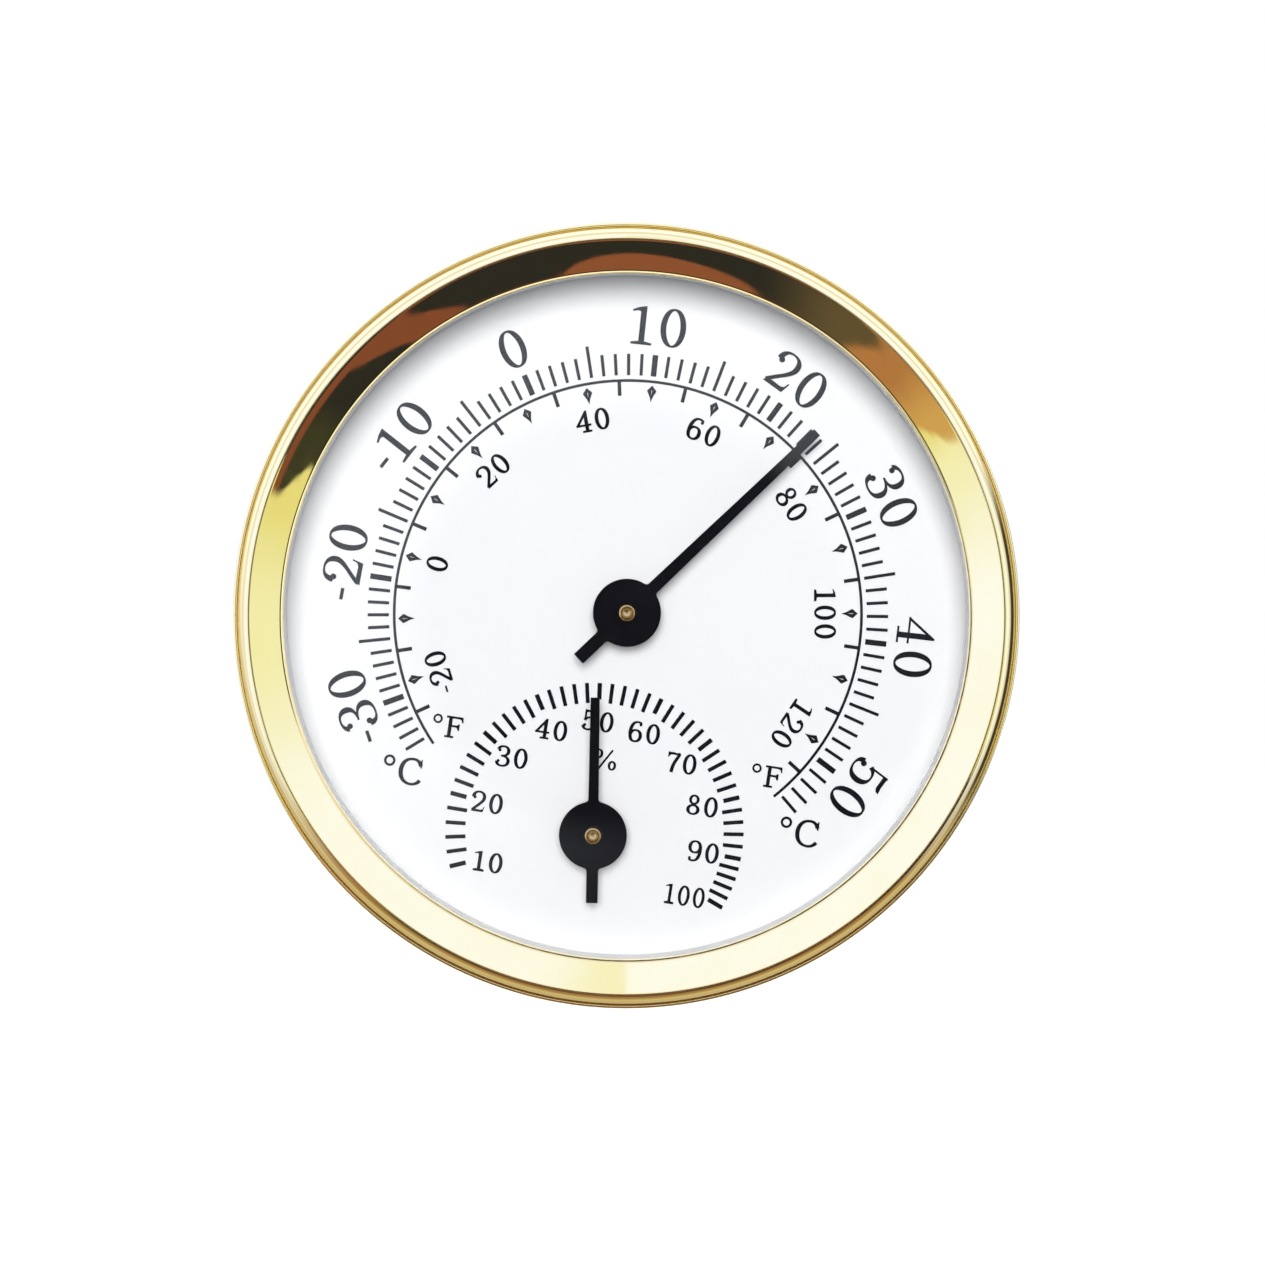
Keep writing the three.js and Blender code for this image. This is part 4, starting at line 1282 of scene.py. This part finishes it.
def slopes(g, angle, off):
    """What the bezel's face mirrors: pale, with a dark part that holds a brown stripe and an arch."""
    outwards = g.smooth(off, 39.0, 56.0)
    slant = g.times(outwards, 5.0)
    left = g.smooth(g.plus(angle, slant), -63.6, -62.0)
    right = g.smooth(g.minus(angle, slant), 54.3, 56.3)
    dark = g.times(left, g.minus(1.0, right))
    pale = g.mix(g.smooth(g.math("ABSOLUTE", angle), 163.0, 178.0), PALE, CREAM)
    for low, high, colour in ((-122.0, -92.0, YELLOW), (-88.0, -68.0, AMBER), (56.0, 62.0, YELLOW),
                              (60.0, 84.0, PALE)):
        pale = g.mix(g.smooth(angle, low, high), pale, colour)
    shade = g.mix(g.smooth(angle, -58.0, -50.0), MOSS, DARK)
    shade = g.mix(g.smooth(angle, 20.0, 36.0), shade, BARK)
    shade = g.mix(g.smooth(g.minus(angle, slant), 36.0, 38.6), shade, OAK)
    shade = g.mix(g.smooth(angle, 46.0, 56.0), shade, HONEY)
    stripe_centre = g.plus(-30.0, g.times(outwards, -10.0))
    away = g.math("ABSOLUTE", g.minus(angle, stripe_centre))
    shade = g.mix(g.smooth(away, 5.0, 6.5), UMBER, shade)
    shade = g.mix(bordered(g, angle, outwards), shade, UMBER)
    before = powered(g, g.minus(1.0, angle), 11.0, 2.2)
    beyond = powered(g, g.minus(angle, 1.0), 19.5, 1.3)
    inwards = powered(g, outwards, 0.80, 2.0)
    arch = g.smooth(g.plus(g.plus(before, beyond), inwards), 0.9, 1.1, 1.0, 0.0)
    shade = g.mix(arch, shade, RUST)
    return g.mix(dark, pale, shade)


def powered(g, value, unit, power):
    """A value in units of its own, not below zero, raised to a power."""
    return g.math("POWER", g.math("MAXIMUM", g.math("DIVIDE", value, unit), 0.0), power)


def bordered(g, angle, outwards):
    """Thin brown borders of the dark part: by its outer edge on the left, by its inner edge at the top."""
    outer = g.times(g.smooth(outwards, 0.95, 0.99), g.smooth(angle, -45.0, -40.0, 1.0, 0.0))
    middle = g.smooth(g.math("ABSOLUTE", angle), 26.0, 32.0, 1.0, 0.0)
    inner = g.times(g.smooth(outwards, 0.02, 0.07, 1.0, 0.0), middle)
    return g.math("MAXIMUM", outer, inner)


def sides(g, turn, off):
    """What steep edges mirror: pale at the top and the sides, tan underneath, dark on the right.

    Level with the dial it is less pale, for the outside of the case.
    """
    under = g.mix(g.smooth(off, 75.0, 110.0), TAN, STRAW)
    level = g.times(g.smooth(off, 79.0, 88.0), g.smooth(off, 97.0, 106.0, 1.0, 0.0))
    wall = g.mix(level, PALE, WALL)
    around = g.mix(g.smooth(g.math("ABSOLUTE", turn), 42.0, 75.0), under, wall)
    return g.mix(g.times(rightwards(g, turn), g.smooth(off, 92.0, 108.0)), around, OLIVE)


def behind(g, turn, up, off):
    """What faces away from the camera mirrors: bright above, straw below, dark on the right."""
    high = g.mix(g.smooth(off, 118.0, 130.0), SKY, SKY_BEHIND)
    colour = g.mix(g.smooth(up, -0.5, 0.6), LOW_BEHIND, high)
    colour = g.mix(rightwards(g, turn), colour, RIGHT_BEHIND)
    return g.mix(g.smooth(off, 135.0, 160.0), colour, STRAIGHT_BEHIND)


def rightwards(g, turn):
    """1 where the right side of the flank looks, fading to 0 on both sides."""
    return g.times(g.smooth(turn, -118.0, -100.0), g.smooth(turn, -66.0, -50.0, 1.0, 0.0))


def floor():
    """A pale floor, well below the hanging dial."""
    radius, thickness, drop = 1500.0, 0.5, 78.0
    g = new_graph("floor_paint")
    colour = g.mix(g.noise(14, 3), (0.90, 0.90, 0.90), (0.93, 0.93, 0.93))
    shade = g.finish(colour, 0.8, Emission_Color=(1, 1, 1, 1), Emission_Strength=0.75)
    piece = turned("floor", [(0, -thickness), (radius, -thickness), (radius, 0), (0, 0)], steps=96)
    piece.rotation_euler = (-math.pi / 2, 0, 0)
    piece.location = (0, 0, -drop * MM)
    piece.data.materials.append(shade)
    for kind in ("glossy", "transmission", "diffuse"):
        setattr(piece, f"visible_{kind}", False)


def key_light():
    """A soft round lamp in front of the dial and a little above it. Metal and glass don't mirror it."""
    data = bpy.data.lights.new("key", "AREA")
    data.shape = "DISK"
    data.size = 0.46
    data.energy = 8.4
    light = bpy.data.objects.new("key", data)
    light.location = (-0.05, -0.78, 0.19)
    aim = Vector((0, 0, 0)) - light.location
    light.rotation_euler = aim.to_track_quat("-Z", "Y").to_euler()
    light.visible_glossy = False
    light.visible_transmission = False
    bpy.context.scene.collection.objects.link(light)


# ---- putting it together

def case_pieces(gold, steel, brass):
    case_shell(gold)
    bezel_ring(gold_polish("bezel_gold", 0.03, 0.07, 0.003))
    lens(lens_glass())
    spacer_ring(white_moulding())
    dial_plate(dial_lacquer())
    movement_plate(steel)
    dial_printing(ink())
    post_x = extent("temp_coil_post")[0] - TEMP_X
    adjuster_hole = 1.26
    bridge("temp", TEMP_X, TEMP_Z, [(0, BARREL_HOLE_RADIUS), (post_x, POST_HOLE_RADIUS)], steel)
    bridge("hum", HUM_X, HUM_Z, [(0, adjuster_hole)], steel)
    for movement in ("temp", "hum"):
        for side in ("left", "right"):
            screw(f"{movement}_bridge_screw_{side}", steel)
    front_bush("temp", TEMP_X, TEMP_Z, brass)
    front_bush("hum", HUM_X, HUM_Z, brass)
    rear_bush(brass)


def movements(steel, brass):
    paint = black_paint()
    bridge_front = extent("temp_bridge")[2] + SHEET
    arm_front = extent("hum_adjuster_arm")[3]
    coil_post("temp", bridge_front, brass)
    coil_post("hum", arm_front, brass)
    adjuster(brass)
    friction_washer(steel)
    adjuster_arm(steel)
    coil("temp", TEMP_X, TEMP_Z, 7, bimetal_strip())
    coil("hum", HUM_X, HUM_Z, 6, coated_strip())
    pointer("temp", TEMP_X, TEMP_Z, TEMP_REST, (0.57, 0.40, 0.61, 24.2, 6.2), paint)
    pointer("hum", HUM_X, HUM_Z, HUM_REST, (0.47, 0.42, 0.54, 12.8, 6.3), paint)
    for movement, x, z in (("temp", TEMP_X, TEMP_Z), ("hum", HUM_X, HUM_Z)):
        pointer_boss(movement, x, z, brass)
        spindle(movement, x, z, brass)
        collet(movement, x, z, brass)


def main():
    gold = gold_polish("case_gold", 0.13, 0.21, 0.02)
    steel = zinc_steel()
    brass = turned_brass()
    case_pieces(gold, steel, brass)
    movements(steel, brass)
    floor()
    key_light()
    room()
    camera()
    bpy.context.scene.view_settings.view_transform = "Standard"


main()
